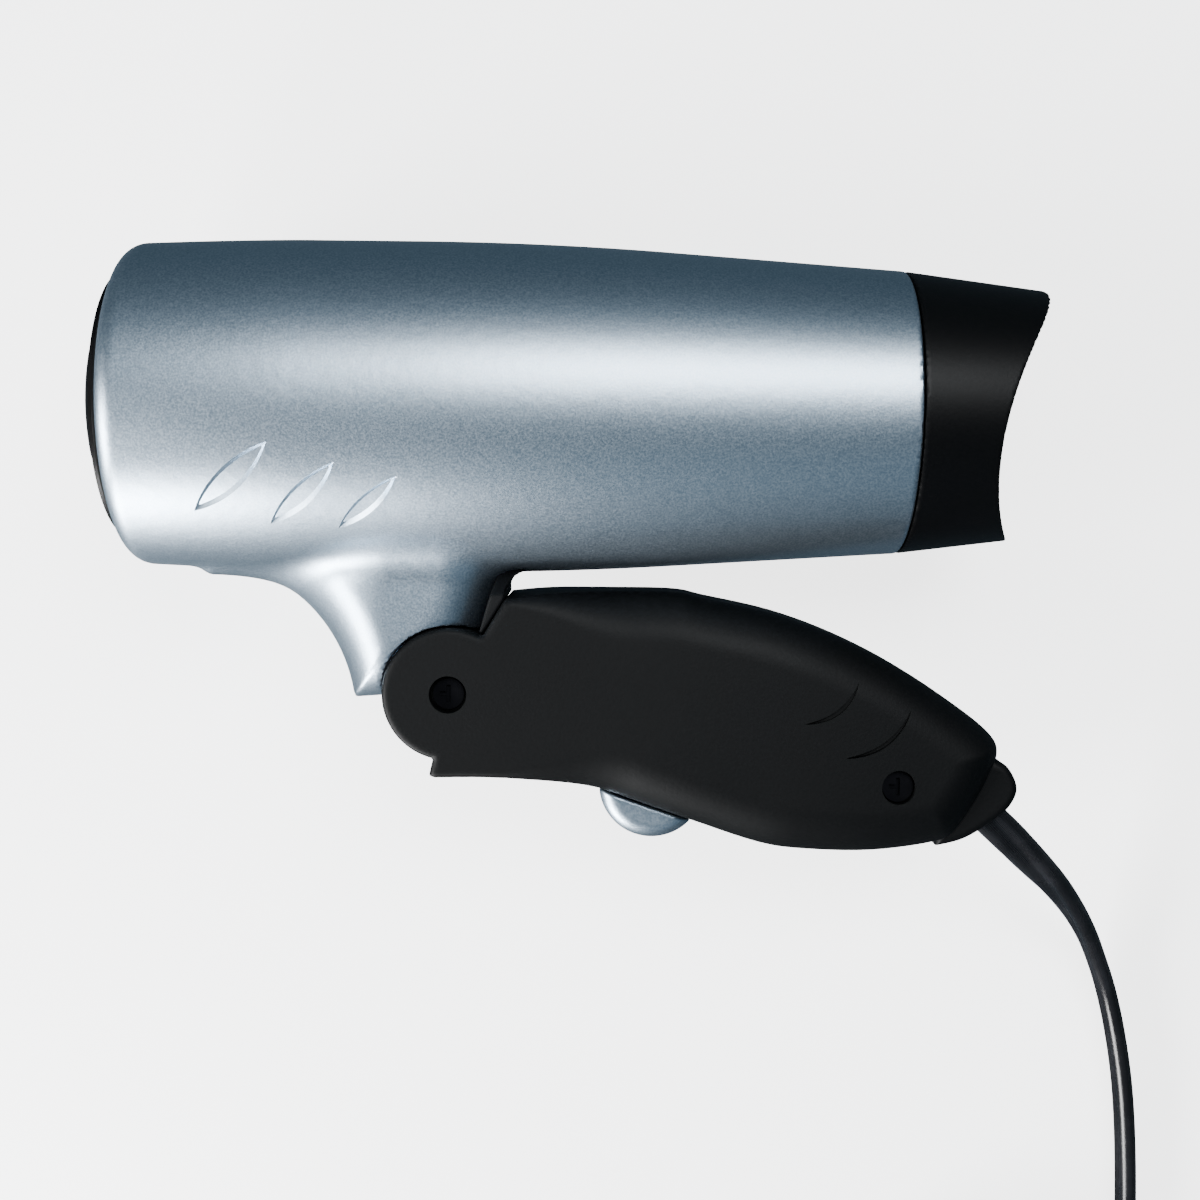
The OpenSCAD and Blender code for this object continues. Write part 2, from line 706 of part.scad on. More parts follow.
// The two free stretches end where they meet the side of the coil
module cord_run() color([0.05, 0.05, 0.055]) difference() {
    sweep(route, route_turn, cord_w, cord_t, 8, 4);
    coil_side();
}

module cord_coil() color([0.05, 0.05, 0.055]) translate([coil_at[0], coil_at[1], coil_lift])
    rotate_extrude($fn = 96) translate([coil_in, 0]) square([coil_out - coil_in, coil_h]);

module cord_tail() color([0.05, 0.05, 0.055]) difference() {
    sweep(tail, tail_turn, cord_w, cord_t, 8, 4);
    coil_side();
}

// Everything inside the outer side of the coil
module coil_side() translate([coil_at[0], coil_at[1], -1])
    cylinder(r = coil_out, h = coil_h + 20, $fn = 96);

// Band round the bundle of turns
module cord_tie() color([0.15, 0.15, 0.16])
    translate([coil_at[0] - (coil_in + coil_out) / 2, coil_at[1], 0.1]) {
        wide = coil_out - coil_in + 0.6;
        tall = coil_h + 0.4;
        difference() {
            translate([-wide / 2 - 0.5, -2.5, 0]) cube([wide + 1, 5, tall + 1]);
            translate([-wide / 2, -3, 0.6]) cube([wide, 6, tall]);
        }
    }

// Flat two-pin plug, its face towards -X
module plug_body() color([0.06, 0.06, 0.065]) difference() {
    translate([plug_at[0], plug_at[1], 0]) linear_extrude(plug_t) polygon([
        [0, -5], [0, 5], [-9, 7], [-15, plug_w / 2], [-plug_len, plug_w / 2],
        [-plug_len, -plug_w / 2], [-15, -plug_w / 2], [-9, -7]]);
    for (s = [-1, 1]) translate([plug_at[0] - 9, plug_at[1] + s * 12, -1])
        cylinder(r = 4.6, h = plug_t + 2);
    for (s = [-1, 1]) blade_bar(s, 0);
}

// Bar of one blade, from so far in front of the plug's face to its root in the body
module blade_bar(side, front)
    translate([plug_at[0] - plug_len - front, plug_at[1] + (side * blade_gap - blade_t) / 2,
        (plug_t - blade_w) / 2])
        cube([front + blade_root, blade_t, blade_w]);

module plug_blades() color([0.8, 0.76, 0.6]) for (s = [-1, 1]) difference() {
    blade_bar(s, blade_len);
    translate([plug_at[0] - plug_len - blade_len + 3.2, plug_at[1] + s * blade_gap / 2 - 2,
        plug_t / 2]) rotate([-90, 0, 0]) cylinder(r = 1.5, h = 4);
}

barrel_shell_right();
barrel_shell_left();
neck_cover();
intake_grille();
filter_screen();
fan_duct();
motor();
motor_shaft();
fan_impeller();
rectifier_board();
heater_frame();
heater_coil();
heater_liner();
thermostat();
thermal_fuse();
outlet_collar();
concentrator();
hinge_sleeve();
hinge_screw();
hinge_washers();
handle_shell_right();
handle_shell_left();
handle_screw();
switch_body();
switch_slider();
switch_knob();
lead_wires();
cord_bushing();
cord_run();
cord_coil();
cord_tail();
cord_tie();
plug_body();
plug_blades();
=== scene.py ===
# %% [markdown]
# # A folding travel hair dryer
# The dryer lies on its side on a pale table, handle folded, cord running off to a coil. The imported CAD
# model gives every place and every moving body, and this script gives the looks. X runs along the
# barrel towards the nozzle, Y from the handle up to the barrel, and Z up from the table.
# Sizes are written in millimetres and turned into metres where a mesh is made.

# %% Load the fixed frame
import json
import math
import bpy
import bmesh
import numpy as np
from mathutils import Matrix, Vector

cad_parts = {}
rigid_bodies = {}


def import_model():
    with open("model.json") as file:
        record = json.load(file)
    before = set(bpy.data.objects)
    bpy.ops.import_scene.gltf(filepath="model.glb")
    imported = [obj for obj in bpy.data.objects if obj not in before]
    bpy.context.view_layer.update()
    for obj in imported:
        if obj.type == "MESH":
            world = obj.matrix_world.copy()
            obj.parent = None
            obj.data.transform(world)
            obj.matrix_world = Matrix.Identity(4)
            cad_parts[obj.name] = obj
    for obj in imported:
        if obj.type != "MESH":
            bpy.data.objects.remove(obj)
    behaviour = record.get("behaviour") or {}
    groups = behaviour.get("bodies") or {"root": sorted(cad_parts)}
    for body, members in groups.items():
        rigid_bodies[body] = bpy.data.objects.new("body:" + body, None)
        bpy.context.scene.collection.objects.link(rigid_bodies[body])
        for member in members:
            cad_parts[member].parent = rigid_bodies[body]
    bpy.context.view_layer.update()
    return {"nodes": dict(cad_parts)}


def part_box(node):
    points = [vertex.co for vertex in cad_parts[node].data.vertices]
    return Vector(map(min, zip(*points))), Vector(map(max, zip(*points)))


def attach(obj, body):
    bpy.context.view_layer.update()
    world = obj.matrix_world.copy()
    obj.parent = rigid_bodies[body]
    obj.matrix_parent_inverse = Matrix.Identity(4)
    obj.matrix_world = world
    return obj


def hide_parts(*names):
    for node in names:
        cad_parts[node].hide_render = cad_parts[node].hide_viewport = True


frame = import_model()
nodes = frame["nodes"]
MM = 0.001

# %% [markdown]
# ## Camera
# The dryer is seen from above its side, from about 32 cm, with the camera aimed a little down the
# picture. A camera's own right and up directions are the first two columns of its matrix, and the
# third points back from what it looks at.

# %% Make the camera
AXIS_Y, AXIS_Z = 27.0, 32.4
PIVOT = (-22.0, -28.226)


def aimed(place, target, roll):
    back = (Vector(place) - Vector(target)).normalized()
    up = Vector((-math.sin(math.radians(roll)), math.cos(math.radians(roll)), 0))
    right = up.cross(back).normalized()
    turned = Matrix((right, back.cross(right), back)).transposed().to_4x4()
    turned.translation = Vector(place)
    return turned


def added(name, data):
    obj = bpy.data.objects.new(name, data)
    bpy.context.scene.collection.objects.link(obj)
    return obj


camera = added("camera", bpy.data.cameras.new("camera"))
seat = Vector((7.0, 12.0, 355.4)) * MM
target = Vector((7.0, -10.7, AXIS_Z)) * MM
camera.matrix_world = aimed(seat, target, 0.66)
camera.data.sensor_width = 36
camera.data.lens = 36 * (seat - target).length / 0.240
bpy.context.scene.camera = camera
print("lens:", round(camera.data.lens, 2))

# %% [markdown]
# ## Shader maths
# Node graphs read better as sums than as wires. This class holds one number socket, and each operator
# adds the Math node that does it. The reflected forms let a plain number stand on the left, as in
# 1 - mask. Any other node comes from one method, which sets the node's own settings first and its
# sockets after that.

# %% The value and finish classes
class Value:
    def __init__(self, finish, socket):
        self.finish, self.socket = finish, socket

    def op(self, kind, *others):
        return self.finish.node("ShaderNodeMath", {"operation": kind}, {
            i: v for i, v in enumerate((self, *others))})

    def __add__(self, o): return self.op("ADD", o)
    def __radd__(self, o): return self.op("ADD", o)
    def __sub__(self, o): return self.op("SUBTRACT", o)
    def __rsub__(self, o): return self.finish.node(
        "ShaderNodeMath", {"operation": "SUBTRACT"}, {0: o, 1: self})
    def __mul__(self, o): return self.op("MULTIPLY", o)
    def __rmul__(self, o): return self.op("MULTIPLY", o)
    def above(self, edge, soft): return self.finish.node(
        "ShaderNodeMapRange", {"interpolation_type": "SMOOTHSTEP"},
        {"Value": self, "From Min": edge - soft, "From Max": edge + soft})


class Finish:
    """A material with one Principled shader, its plain numbers set on the shader's own sockets."""

    def __init__(self, name, **plain):
        self.material = bpy.data.materials.new(name)
        self.material.use_nodes = True
        self.tree = self.material.node_tree
        self.shader = self.tree.nodes["Principled BSDF"]
        for key, value in plain.items():
            self.shader.inputs[key.replace("_", " ")].default_value = value

    def node(self, kind, settings=None, sockets=None, out=0):
        n = self.tree.nodes.new(kind)
        for key, value in (settings or {}).items():
            setattr(n, key, value)
        for key, value in (sockets or {}).items():
            if isinstance(value, Value):
                self.tree.links.new(value.socket, n.inputs[key])
            else:
                n.inputs[key].default_value = value
        return Value(self, n.outputs[out])

    def place(self, stretch=(1, 1, 1)):
        where = self.node("ShaderNodeTexCoord", out="Object")
        return self.node("ShaderNodeMapping", {}, {"Vector": where, "Scale": stretch})

    def noise(self, where, scale, detail=2.0, rough=0.5):
        return self.node("ShaderNodeTexNoise", {}, {
            "Vector": where, "Scale": scale, "Detail": detail, "Roughness": rough})

    def blend(self, factor, a, b):
        return self.node("ShaderNodeMix", {"data_type": "RGBA"}, {0: factor, 6: a, 7: b}, out=2)

    def drive(self, socket, value):
        self.tree.links.new(value.socket, self.shader.inputs[socket])

    def bump(self, height, strength, depth):
        self.drive("Normal", self.node("ShaderNodeBump", {}, {
            "Height": height, "Strength": strength, "Distance": depth}))


def rgb(r, g, b):
    """A colour as it looks on a screen, 0 to 255, turned into the light it reflects."""
    return tuple(((c / 255 + 0.055) / 1.055) ** 2.4 if c > 10 else c / 255 / 12.92
                 for c in (r, g, b)) + (1.0,)


def toned(colour, share):
    return tuple(min(1, c * share) for c in colour[:3]) + (1.0,)


# %% [markdown]
# ## Silver paint
# The shell and the switch knob are moulded plastic with a silver-blue paint. Such paint is a clear
# binder full of tiny aluminium flakes: each flake is a mirror, so the paint is metallic and rough,
# with a fine grain that sparkles near the highlight. The grain is a small noise that changes colour
# and roughness, and a faint wide ripple in the surface stands for the paint's orange peel.

# %% Silver paint
def silver_paint():
    f = Finish("silver_paint", Metallic=1.0, IOR=1.5, Coat_Weight=0.10, Coat_Roughness=0.28)
    flakes = f.noise(f.place(), 2600, 2.0, 0.6)
    clouds = f.noise(f.place(), 22, 3.0, 0.5)
    sparkle = flakes.above(0.5, 0.22)
    base = f.blend(sparkle, rgb(176, 196, 214), rgb(210, 224, 237))
    f.drive("Base Color", f.blend(clouds.above(0.5, 0.3) * 0.25, base, rgb(180, 202, 221)))
    f.drive("Roughness", 0.37 + (flakes - 0.5) * 0.14 + (clouds - 0.5) * 0.04)
    peel = f.noise(f.place(), 420, 1.0, 0.4)
    f.bump(peel + flakes * 0.35, 0.09, 0.00035)
    return f.material


# %% [markdown]
# ## Black mouldings
# The handle is a matt black moulding: the mould was spark-eroded, which leaves a fine even grain that
# scatters light. The nozzle was moulded smoother and looks satin. Both come from one function, with
# the grain's size and depth and the polish as its numbers, so the two blacks belong together. Skin
# grease polishes the grip unevenly, so the roughness wanders slowly over the surface.

# %% Black plastics
def black_moulding(name, colour, rough, grain, depth, wander=0.06):
    f = Finish(name, Metallic=0.0, IOR=1.27)
    fine = f.noise(f.place(), grain, 3.0, 0.6)
    slow = f.noise(f.place(), 35, 3.0, 0.5)
    f.drive("Base Color", f.blend(fine.above(0.5, 0.25), toned(colour, 0.72), colour))
    f.drive("Roughness", rough + (slow - 0.5) * wander * 2 + (fine - 0.5) * 0.10)
    f.bump(fine, 0.35, depth)
    return f.material


# %% [markdown]
# ## Metals, mica and the rest
# Turned and drawn metal carries fine lines along one direction: a noise squeezed along that
# direction draws them. Mica sheet shows overlapping flakes, which a Voronoi pattern gives. The
# circuit board, the wire mesh and the moulded inner parts each get a small pattern of their own.

# %% Metal and inner finishes
def drawn_metal(name, colour, rough, lines=(1, 1, 14), grain=260):
    f = Finish(name, Metallic=1.0)
    streaks = f.noise(f.place(stretch=lines), grain, 3.0, 0.6)
    stains = f.noise(f.place(), 120, 2.0, 0.5)
    f.drive("Base Color", f.blend(streaks.above(0.5, 0.3), toned(colour, 0.78), colour))
    f.drive("Roughness", rough + (streaks - 0.5) * 0.25 + (stains - 0.5) * 0.12)
    f.bump(streaks, 0.25, 0.0001)
    return f.material


def mica_sheet(name, colour):
    f = Finish(name, Metallic=0.0, IOR=1.58)
    flakes = f.node("ShaderNodeTexVoronoi", {}, {"Vector": f.place(), "Scale": 420.0})
    cells = f.noise(f.place(), 160, 4.0, 0.6)
    f.drive("Base Color", f.blend(cells.above(0.5, 0.2), colour, toned(colour, 1.35)))
    f.drive("Roughness", 0.38 + flakes * 0.35)
    f.bump(flakes, 0.3, 0.0002)
    return f.material


def moulded(name, colour, rough, grain=900, speck=0.12):
    f = Finish(name, Metallic=0.0)
    fine = f.noise(f.place(), grain, 2.0, 0.5)
    slow = f.noise(f.place(), 60, 3.0, 0.5)
    f.drive("Base Color", f.blend(slow.above(0.5, 0.3), toned(colour, 1 - speck), colour))
    f.drive("Roughness", rough + (fine - 0.5) * 0.15)
    f.bump(fine, 0.2, 0.00012)
    return f.material


def wire_mesh(name, colour):
    """Woven wire: two sets of fine waves cross, and their sum is the weave."""
    f = Finish(name, Metallic=1.0)
    where = f.place()
    rows = f.node("ShaderNodeTexWave", {"bands_direction": "Y"}, {"Vector": where, "Scale": 260.0})
    cols = f.node("ShaderNodeTexWave", {"bands_direction": "Z"}, {"Vector": where, "Scale": 260.0})
    weave = rows * cols
    f.drive("Base Color", f.blend(weave, rgb(20, 20, 22), colour))
    f.drive("Roughness", 0.55 - weave * 0.2)
    f.bump(weave, 0.8, 0.0003)
    return f.material


# %% [markdown]
# ## Cord insulation
# The flat twin cord is soft black vinyl, drawn through a die: it is smooth along its length, with
# very fine lines from the die and a soft sheen. Its pattern follows the cord, not the room, so it
# reads the piece's own UV map, where V runs along the cord.

# %% Cord finish
def cord_vinyl():
    f = Finish("cord_vinyl", Metallic=0.0, IOR=1.5)
    uv = f.node("ShaderNodeTexCoord", out="UV")
    along = f.node("ShaderNodeMapping", {}, {"Vector": uv, "Scale": (60.0, 6.0, 1.0)})
    lines = f.noise(along, 6, 2.0, 0.5)
    dull = f.noise(f.place(), 90, 3.0, 0.5)
    f.drive("Base Color", f.blend(dull.above(0.5, 0.3), rgb(15, 15, 17), rgb(28, 28, 31)))
    f.drive("Roughness", 0.27 + (dull - 0.5) * 0.16 + (lines - 0.5) * 0.08)
    f.bump(lines, 0.15, 0.0001)
    return f.material


FINISH = {
    "silver": silver_paint(),
    "black": black_moulding("black_matt", rgb(5, 6, 7), 0.56, 1500, 0.00012),
    # The black web finish is painted shade: it colours the sheet that stands for the shadow on the
    # neck's front.
    "web": black_moulding("painted_shade_black", rgb(9, 10, 12), 0.66, 1500, 0.00012),
    "nozzle": black_moulding("black_satin", rgb(5, 5, 6), 0.42, 1900, 0.00006, 0.04),
    "cord": cord_vinyl(),
    "plug": black_moulding("plug_vinyl", rgb(24, 24, 27), 0.45, 900, 0.00010),
    # The screws' steel is blackened, and its colour is made darker still as painted shade of the deep
    # screw recesses.
    "dark_steel_and_shade": drawn_metal("blackened_steel_and_shade", rgb(26, 26, 29), 0.5),
    "steel": drawn_metal("turned_steel", rgb(176, 178, 182), 0.32, (14, 1, 1)),
    "brass": drawn_metal("bright_brass", rgb(214, 188, 128), 0.28, (1, 14, 14), 300),
    "wire": drawn_metal("resistance_wire", rgb(120, 108, 98), 0.5, (1, 1, 1), 700),
    "mica": mica_sheet("mica_sheet", rgb(170, 150, 108)),
    "pale": moulded("pale_moulding", rgb(222, 219, 208), 0.5),
    "board": moulded("circuit_board", rgb(38, 92, 56), 0.4, 500, 0.3),
    "ceramic": moulded("ceramic", rgb(232, 226, 212), 0.6, 400, 0.08),
    "blue": moulded("blue_insulation", rgb(40, 52, 150), 0.42, 1200, 0.15),
    "mesh": wire_mesh("wire_mesh", rgb(150, 150, 152)),
}
print("finishes:", len(FINISH))

# %% [markdown]
# ## The cord
# A flat twin cord leaves the bushing at the end of the handle, drops to the table while it turns on
# its edge, and runs off. The rest of its 1.5 m is wound on edge into a neat coil, which is how a
# flat cord bends easily: nearly three turns inward on the table, then up, and out again on top. The
# route comes first, as points, because everything else about a cord follows from them.

# %% Route of the cord
CORD_WIDE, CORD_THICK, WEB_SHARE = 7.0, 3.6, 0.3
CORD_EXIT = (85.4, -53.3, 32.4)
ROUTE = [(82.5, -50.6, 32.4), CORD_EXIT, (90.7, -58.2, 30.6), (96.8, -64.1, 26),
         (103, -70.2, 20.2), (108.5, -76.6, 14.6), (113, -83, 10), (116.2, -89, 7),
         (119.4, -97, 5), (122, -107, 4.4), (124, -119, 4.4), (125.2, -133, 4.4),
         (125.8, -150, 4.4), (126, -170, 4.4), (125.8, -192, 4.4)]
ROUTE_TURN = [0, 0, 12, 32, 54, 72, 84, 90, 90, 90, 90, 90, 90, 90, 90]
TAIL = [(70, -241.4, 11.2), (60, -240.4, 10), (50, -239, 8.4), (41, -238, 7.6), (34, -238, 7.5)]
TAIL_TURN = [80, 50, 20, 0, 0]
COIL_AT, COIL_R, PITCH, LOW, HIGH = (84.0, -200.0), 38.0, 3.8, 4.4, 11.6


def eased(x, start, end):
    t = min(1.0, max(0.0, (x - start) / (end - start)))
    return t * t * (3 - 2 * t)


def coil_point(turn):
    """Where the cord is after so many turns: inward on the table, up, and out again."""
    radius = COIL_R + PITCH * (1 - eased(turn, 0.75, 1) - eased(turn, 1.75, 2)
                               + eased(turn, 3.35, 3.6) + eased(turn, 4.35, 4.6))
    height = LOW + (HIGH - LOW) * eased(turn, 2.6, 2.85)
    a = -2 * math.pi * turn
    return (COIL_AT[0] + radius * math.cos(a), COIL_AT[1] + radius * math.sin(a), height)


TURNS = 5.25
coil = [coil_point(t) for t in np.arange(0.0, TURNS + 0.001, 1 / 24)]
points = np.array(ROUTE + coil + TAIL)
turns = np.array(ROUTE_TURN + [90] * len(coil) + TAIL_TURN, float)


def smoothed(p, steps):
    """A smooth line through the points, with the same formula as the CAD's."""
    p = np.asarray(p, float).reshape(len(p), -1)
    q = np.vstack([p[:1], p, p[-1:]])
    out = []
    for i in range(1, len(q) - 2):
        a, b, c, d = q[i - 1], q[i], q[i + 1], q[i + 2]
        for t in np.arange(steps) / steps:
            out.append(0.5 * (2 * b + (c - a) * t + (2 * a - 5 * b + 4 * c - d) * t ** 2
                              + (3 * b - a - 3 * c + d) * t ** 3))
    return np.array(out + [p[-1]])


cord_line, cord_turn = smoothed(points, 4), smoothed(turns, 4)[:, 0]
cord_length = float(np.linalg.norm(np.diff(cord_line, axis=0), axis=1).sum())
print("cord length, mm:", round(cord_length))

# %% [markdown]
# Each ring of the cord is the outline of two round cores side by side with a web between them, so
# a groove runs down both flat sides. The ring stands square to the route and is turned about it.

# %% Sweep the cord
def mesh_object(name, vertices, faces, finish, smooth=True, uv=None):
    mesh = bpy.data.meshes.new(name)
    mesh.from_pydata((np.asarray(vertices) * MM).tolist(), [], faces)
    if uv is not None:
        layer = mesh.uv_layers.new(name="UVMap")
        index = np.zeros(len(mesh.loops), np.int32)
        mesh.loops.foreach_get("vertex_index", index)
        layer.data.foreach_set("uv", np.asarray(uv, np.float32)[index].ravel())
    mesh.update()
    if smooth:
        mesh.shade_smooth()
    mesh.materials.append(finish)
    return added(name, mesh)


def twin_outline(width, thick, sides=28):
    """Points round two cores side by side, with a web that is a share of a core's thickness."""
    r, ring = thick / 2, []
    for k in range(sides):
        a = 2 * math.pi * (k + 0.5) / sides
        x = (width / 2) * math.cos(a)
        across = max(0.0, r * r - (abs(x) - (width / 2 - r)) ** 2) ** 0.5
        web = WEB_SHARE * r if abs(x) < width / 2 - r else 0.0
        ring.append((x, math.copysign(max(across, web), math.sin(a))))
    return np.array(ring)


def swept(name, line, roll, outline, finish):
    ahead = np.gradient(line, axis=0)
    ahead /= np.linalg.norm(ahead, axis=1)[:, None]
    side = np.cross([0, 0, 1.0], ahead)
    side /= np.linalg.norm(side, axis=1)[:, None]
    up = np.cross(ahead, side)
    a = np.radians(roll)[:, None]
    wide, thin = side * np.cos(a) + up * np.sin(a), up * np.cos(a) - side * np.sin(a)
    rings = (line[:, None] + outline[None, :, :1] * wide[:, None]
             + outline[None, :, 1:] * thin[:, None])
    n, m = len(line), len(outline)
    run = np.concatenate([[0], np.cumsum(np.linalg.norm(np.diff(line, axis=0), axis=1))])
    uv = np.stack(np.broadcast_arrays(np.arange(m)[None] / m, run[:, None] * MM), -1).reshape(-1, 2)
    faces = [(i * m + k, i * m + (k + 1) % m, (i + 1) * m + (k + 1) % m, (i + 1) * m + k)
             for i in range(n - 1) for k in range(m)]
    faces += [tuple(range(m))[::-1], tuple((n - 1) * m + k for k in range(m))]
    return mesh_object(name, rings.reshape(-1, 3), faces, finish, uv=uv)


cord = swept("cord", cord_line, cord_turn, twin_outline(CORD_WIDE, CORD_THICK), FINISH["cord"])
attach(cord, "handle")
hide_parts("cord_run", "cord_coil", "cord_tail")
print("cord faces:", len(cord.data.polygons))

# %% [markdown]
# ## Shapes from distances
# The shell, the handle, the knob and the plug are moulded forms with no sharp edge anywhere: walls
# melt into each other through fillets. Such a form is easy to say as a distance: a function gives, for
# any point, how far outside the skin it is, and below zero means inside. Joining two forms is the
# lesser of two distances, cutting is the greater of one and minus the other, and a softened lesser
# or greater makes the fillet or the rounded edge. Polygons by hand would take far longer to blend.

# %% Joining, cutting and rounding
def joined(a, b, fillet):
    h = np.clip(fillet - np.abs(a - b), 0, None) / fillet
    return np.minimum(a, b) - h * h * fillet / 4


def both(a, b, soft):
    return -joined(-a, -b, soft)


def slab(plan, depth, rounding):
    """A flat form: a plan's distance and a distance from the middle plane, with round edges."""
    p, q = plan + rounding, depth + rounding
    return np.minimum(np.maximum(p, q), 0) + np.hypot(np.maximum(p, 0), np.maximum(q, 0)) - rounding


def outline_distance(polygon, x, y):
    """Signed distance from a closed outline, below zero inside it."""
    best, inside = np.full(np.broadcast(x, y).shape, 1e9), np.zeros(np.broadcast(x, y).shape, bool)
    for (x0, y0), (x1, y1) in zip(polygon, np.roll(polygon, -1, axis=0)):
        dx, dy = x1 - x0, y1 - y0
        long = dx * dx + dy * dy
        if long == 0:
            continue
        t = np.clip(((x - x0) * dx + (y - y0) * dy) / long, 0, 1)
        best = np.minimum(best, (x - x0 - t * dx) ** 2 + (y - y0 - t * dy) ** 2)
        if dy:
            inside ^= ((y0 > y) != (y1 > y)) & (x < dx * (y - y0) / dy + x0)
    return np.where(inside, -1, 1) * np.sqrt(best)


class Plan:
    """An outline's distances, worked out once on a fine sheet and read back between its points."""

    def __init__(self, polygon, step=0.25, edge=16):
        self.low, self.step = np.min(polygon, axis=0) - edge, step
        size = np.ceil((np.max(polygon, axis=0) + edge - self.low) / step).astype(int)
        x, y = (self.low[i] + step * np.arange(size[i] + 1) for i in (0, 1))
        self.sheet = outline_distance(np.asarray(polygon, float), x[:, None], y[None, :])

    def __call__(self, x, y):
        u = np.clip((x - self.low[0]) / self.step, 0, self.sheet.shape[0] - 1.001)
        v = np.clip((y - self.low[1]) / self.step, 0, self.sheet.shape[1] - 1.001)
        i, j = u.astype(int), v.astype(int)
        a, b, s = u - i, v - j, self.sheet
        return ((1 - a) * (1 - b) * s[i, j] + a * (1 - b) * s[i + 1, j]
                + (1 - a) * b * s[i, j + 1] + a * b * s[i + 1, j + 1])


# %% [markdown]
# To turn a distance into a mesh, the space is cut into small cubes. Each cube that the skin passes
# through gets one point, at the middle of the places where the skin cuts its edges, and each
# cube edge that is cut gets a four-sided face between the four cubes around it. That is the surface
# nets method. A few steps along the distance's own slope then put every point exactly on the skin.
# The casings are meshed as halves, cut just above the middle plane so that they don't overlap. The
# points on a half's rim move onto the skin within that plane, so the seam's edge is sharp.

# %% Mesh a distance
SEAM = AXIS_Z + 0.03
NEAR = 0.02


def skin(form, low, high, step, whole=None):
    size = np.ceil((np.array(high) - low) / step).astype(int) + 1
    grid = [low[i] + step * np.arange(size[i]) for i in range(3)]
    d = np.ascontiguousarray(np.broadcast_to(
        form(grid[0][:, None, None], grid[1][None, :, None], grid[2][None, None, :]), size))
    corner = [d[i:size[0] - 1 + i, j:size[1] - 1 + j, k:size[2] - 1 + k]
              for i in (0, 1) for j in (0, 1) for k in (0, 1)]
    count = sum((c < 0).astype(np.int8) for c in corner)
    cell = np.argwhere((count > 0) & (count < 8))
    number = np.full(count.shape, -1)
    number[tuple(cell.T)] = np.arange(len(cell))
    value = np.stack([c[tuple(cell.T)] for c in corner], 1)
    offset = np.array([(i, j, k) for i in (0, 1) for j in (0, 1) for k in (0, 1)], float)
    total, hits = np.zeros((len(cell), 3)), np.zeros(len(cell))
    for a in range(8):
        for bit in (1, 2, 4):
            b = a | bit
            if b == a:
                continue
            va, vb = value[:, a], value[:, b]
            cut = (va < 0) != (vb < 0)
            t = np.where(cut, va / np.where(cut, va - vb, 1), 0)[:, None]
            total += np.where(cut[:, None], offset[a] + t * (offset[b] - offset[a]), 0)
            hits += cut
    points = (cell + total / hits[:, None]) * step + low
    faces = []
    for axis in range(3):
        u, v = (axis + 1) % 3, (axis + 2) % 3
        inner = [slice(1, -1)] * 3
        inner[axis] = slice(None)
        near = np.moveaxis(d, axis, 0)
        crossing = np.argwhere((near[:-1] < 0) != (near[1:] < 0))
        order = [axis] + [k for k in range(3) if k != axis]
        at = np.empty_like(crossing)
        for place, k in enumerate(order):
            at[:, k] = crossing[:, place]
        ok = (at[:, u] > 0) & (at[:, v] > 0) & (at[:, u] < size[u] - 1) & (at[:, v] < size[v] - 1)
        at = at[ok]
        quad = []
        for du, dv in ((1, 1), (0, 1), (0, 0), (1, 0)):
            shifted = at.copy()
            shifted[:, u] -= du
            shifted[:, v] -= dv
            quad.append(number[tuple(shifted.T)])
        quad = np.stack(quad, 1)
        outward = d[tuple(at.T)] < 0
        quad[~outward] = quad[~outward][:, ::-1]
        faces.append(quad)
    for _ in range(4):
        here = form(*points.T)
        slope = np.stack([(form(*(points + NEAR * e).T) - form(*(points - NEAR * e).T)) / (2 * NEAR)
                          for e in np.eye(3)], 1)
        steep = np.maximum((slope ** 2).sum(1), 0.05)[:, None]
        points = points - np.clip(slope * here[:, None] / steep, -step / 2, step / 2)
    if whole:
        rim = cell[:, 2] == int((SEAM - low[2]) / step)
        rim &= (value[:, 1::2] < 0).any(1) & (value[:, 1::2] >= 0).any(1)
        points[rim] = onto_seam(whole, points[rim], step)
    return points, np.vstack(faces)


def onto_seam(whole, points, step):
    """Moves points along the seam's plane onto the whole form's skin, so the seam's edge is sharp."""
    x, y, z, h = points[:, 0], points[:, 1], np.full(len(points), SEAM), NEAR
    for _ in range(6):
        here = whole(x, y, z)
        dx = (whole(x + h, y, z) - whole(x - h, y, z)) / (2 * h)
        dy = (whole(x, y + h, z) - whole(x, y - h, z)) / (2 * h)
        reach = here / np.maximum(dx * dx + dy * dy, 0.2)
        x = x - np.clip(dx * reach, -step / 2, step / 2)
        y = y - np.clip(dy * reach, -step / 2, step / 2)
    return np.stack([x, y, z], 1)


def above_seam(whole):
    return lambda x, y, z: np.maximum(whole(x, y, z), SEAM - z)


# %% Mirror, cut and shade
def mirrored(points, faces):
    """The same skin on the other side of the middle plane."""
    flipped = points.copy()
    flipped[:, 2] = 2 * AXIS_Z - flipped[:, 2]
    return flipped, faces[:, ::-1]


def keep_result(obj):
    """Gives an object the mesh that its modifiers make, and removes them."""
    mesh = bpy.data.meshes.new_from_object(
        obj.evaluated_get(bpy.context.evaluated_depsgraph_get()))
    obj.modifiers.clear()
    old, obj.data = obj.data, mesh
    bpy.data.meshes.remove(old)


def cut_with(obj, cutters):
    """Cuts meshes out of an object for good, with the solver for closed meshes."""
    for cutter in cutters:
        m = obj.modifiers.new("cut", "BOOLEAN")
        m.operation, m.object, m.solver = "DIFFERENCE", cutter, "MANIFOLD"
        keep_result(obj)
    for cutter in cutters:
        bpy.data.objects.remove(cutter)


def crisp(obj, degrees=32):
    """Smooth shading everywhere, apart from edges that are really sharp."""
    obj.data.shade_smooth()
    obj.data.set_sharp_from_angle(angle=math.radians(degrees))


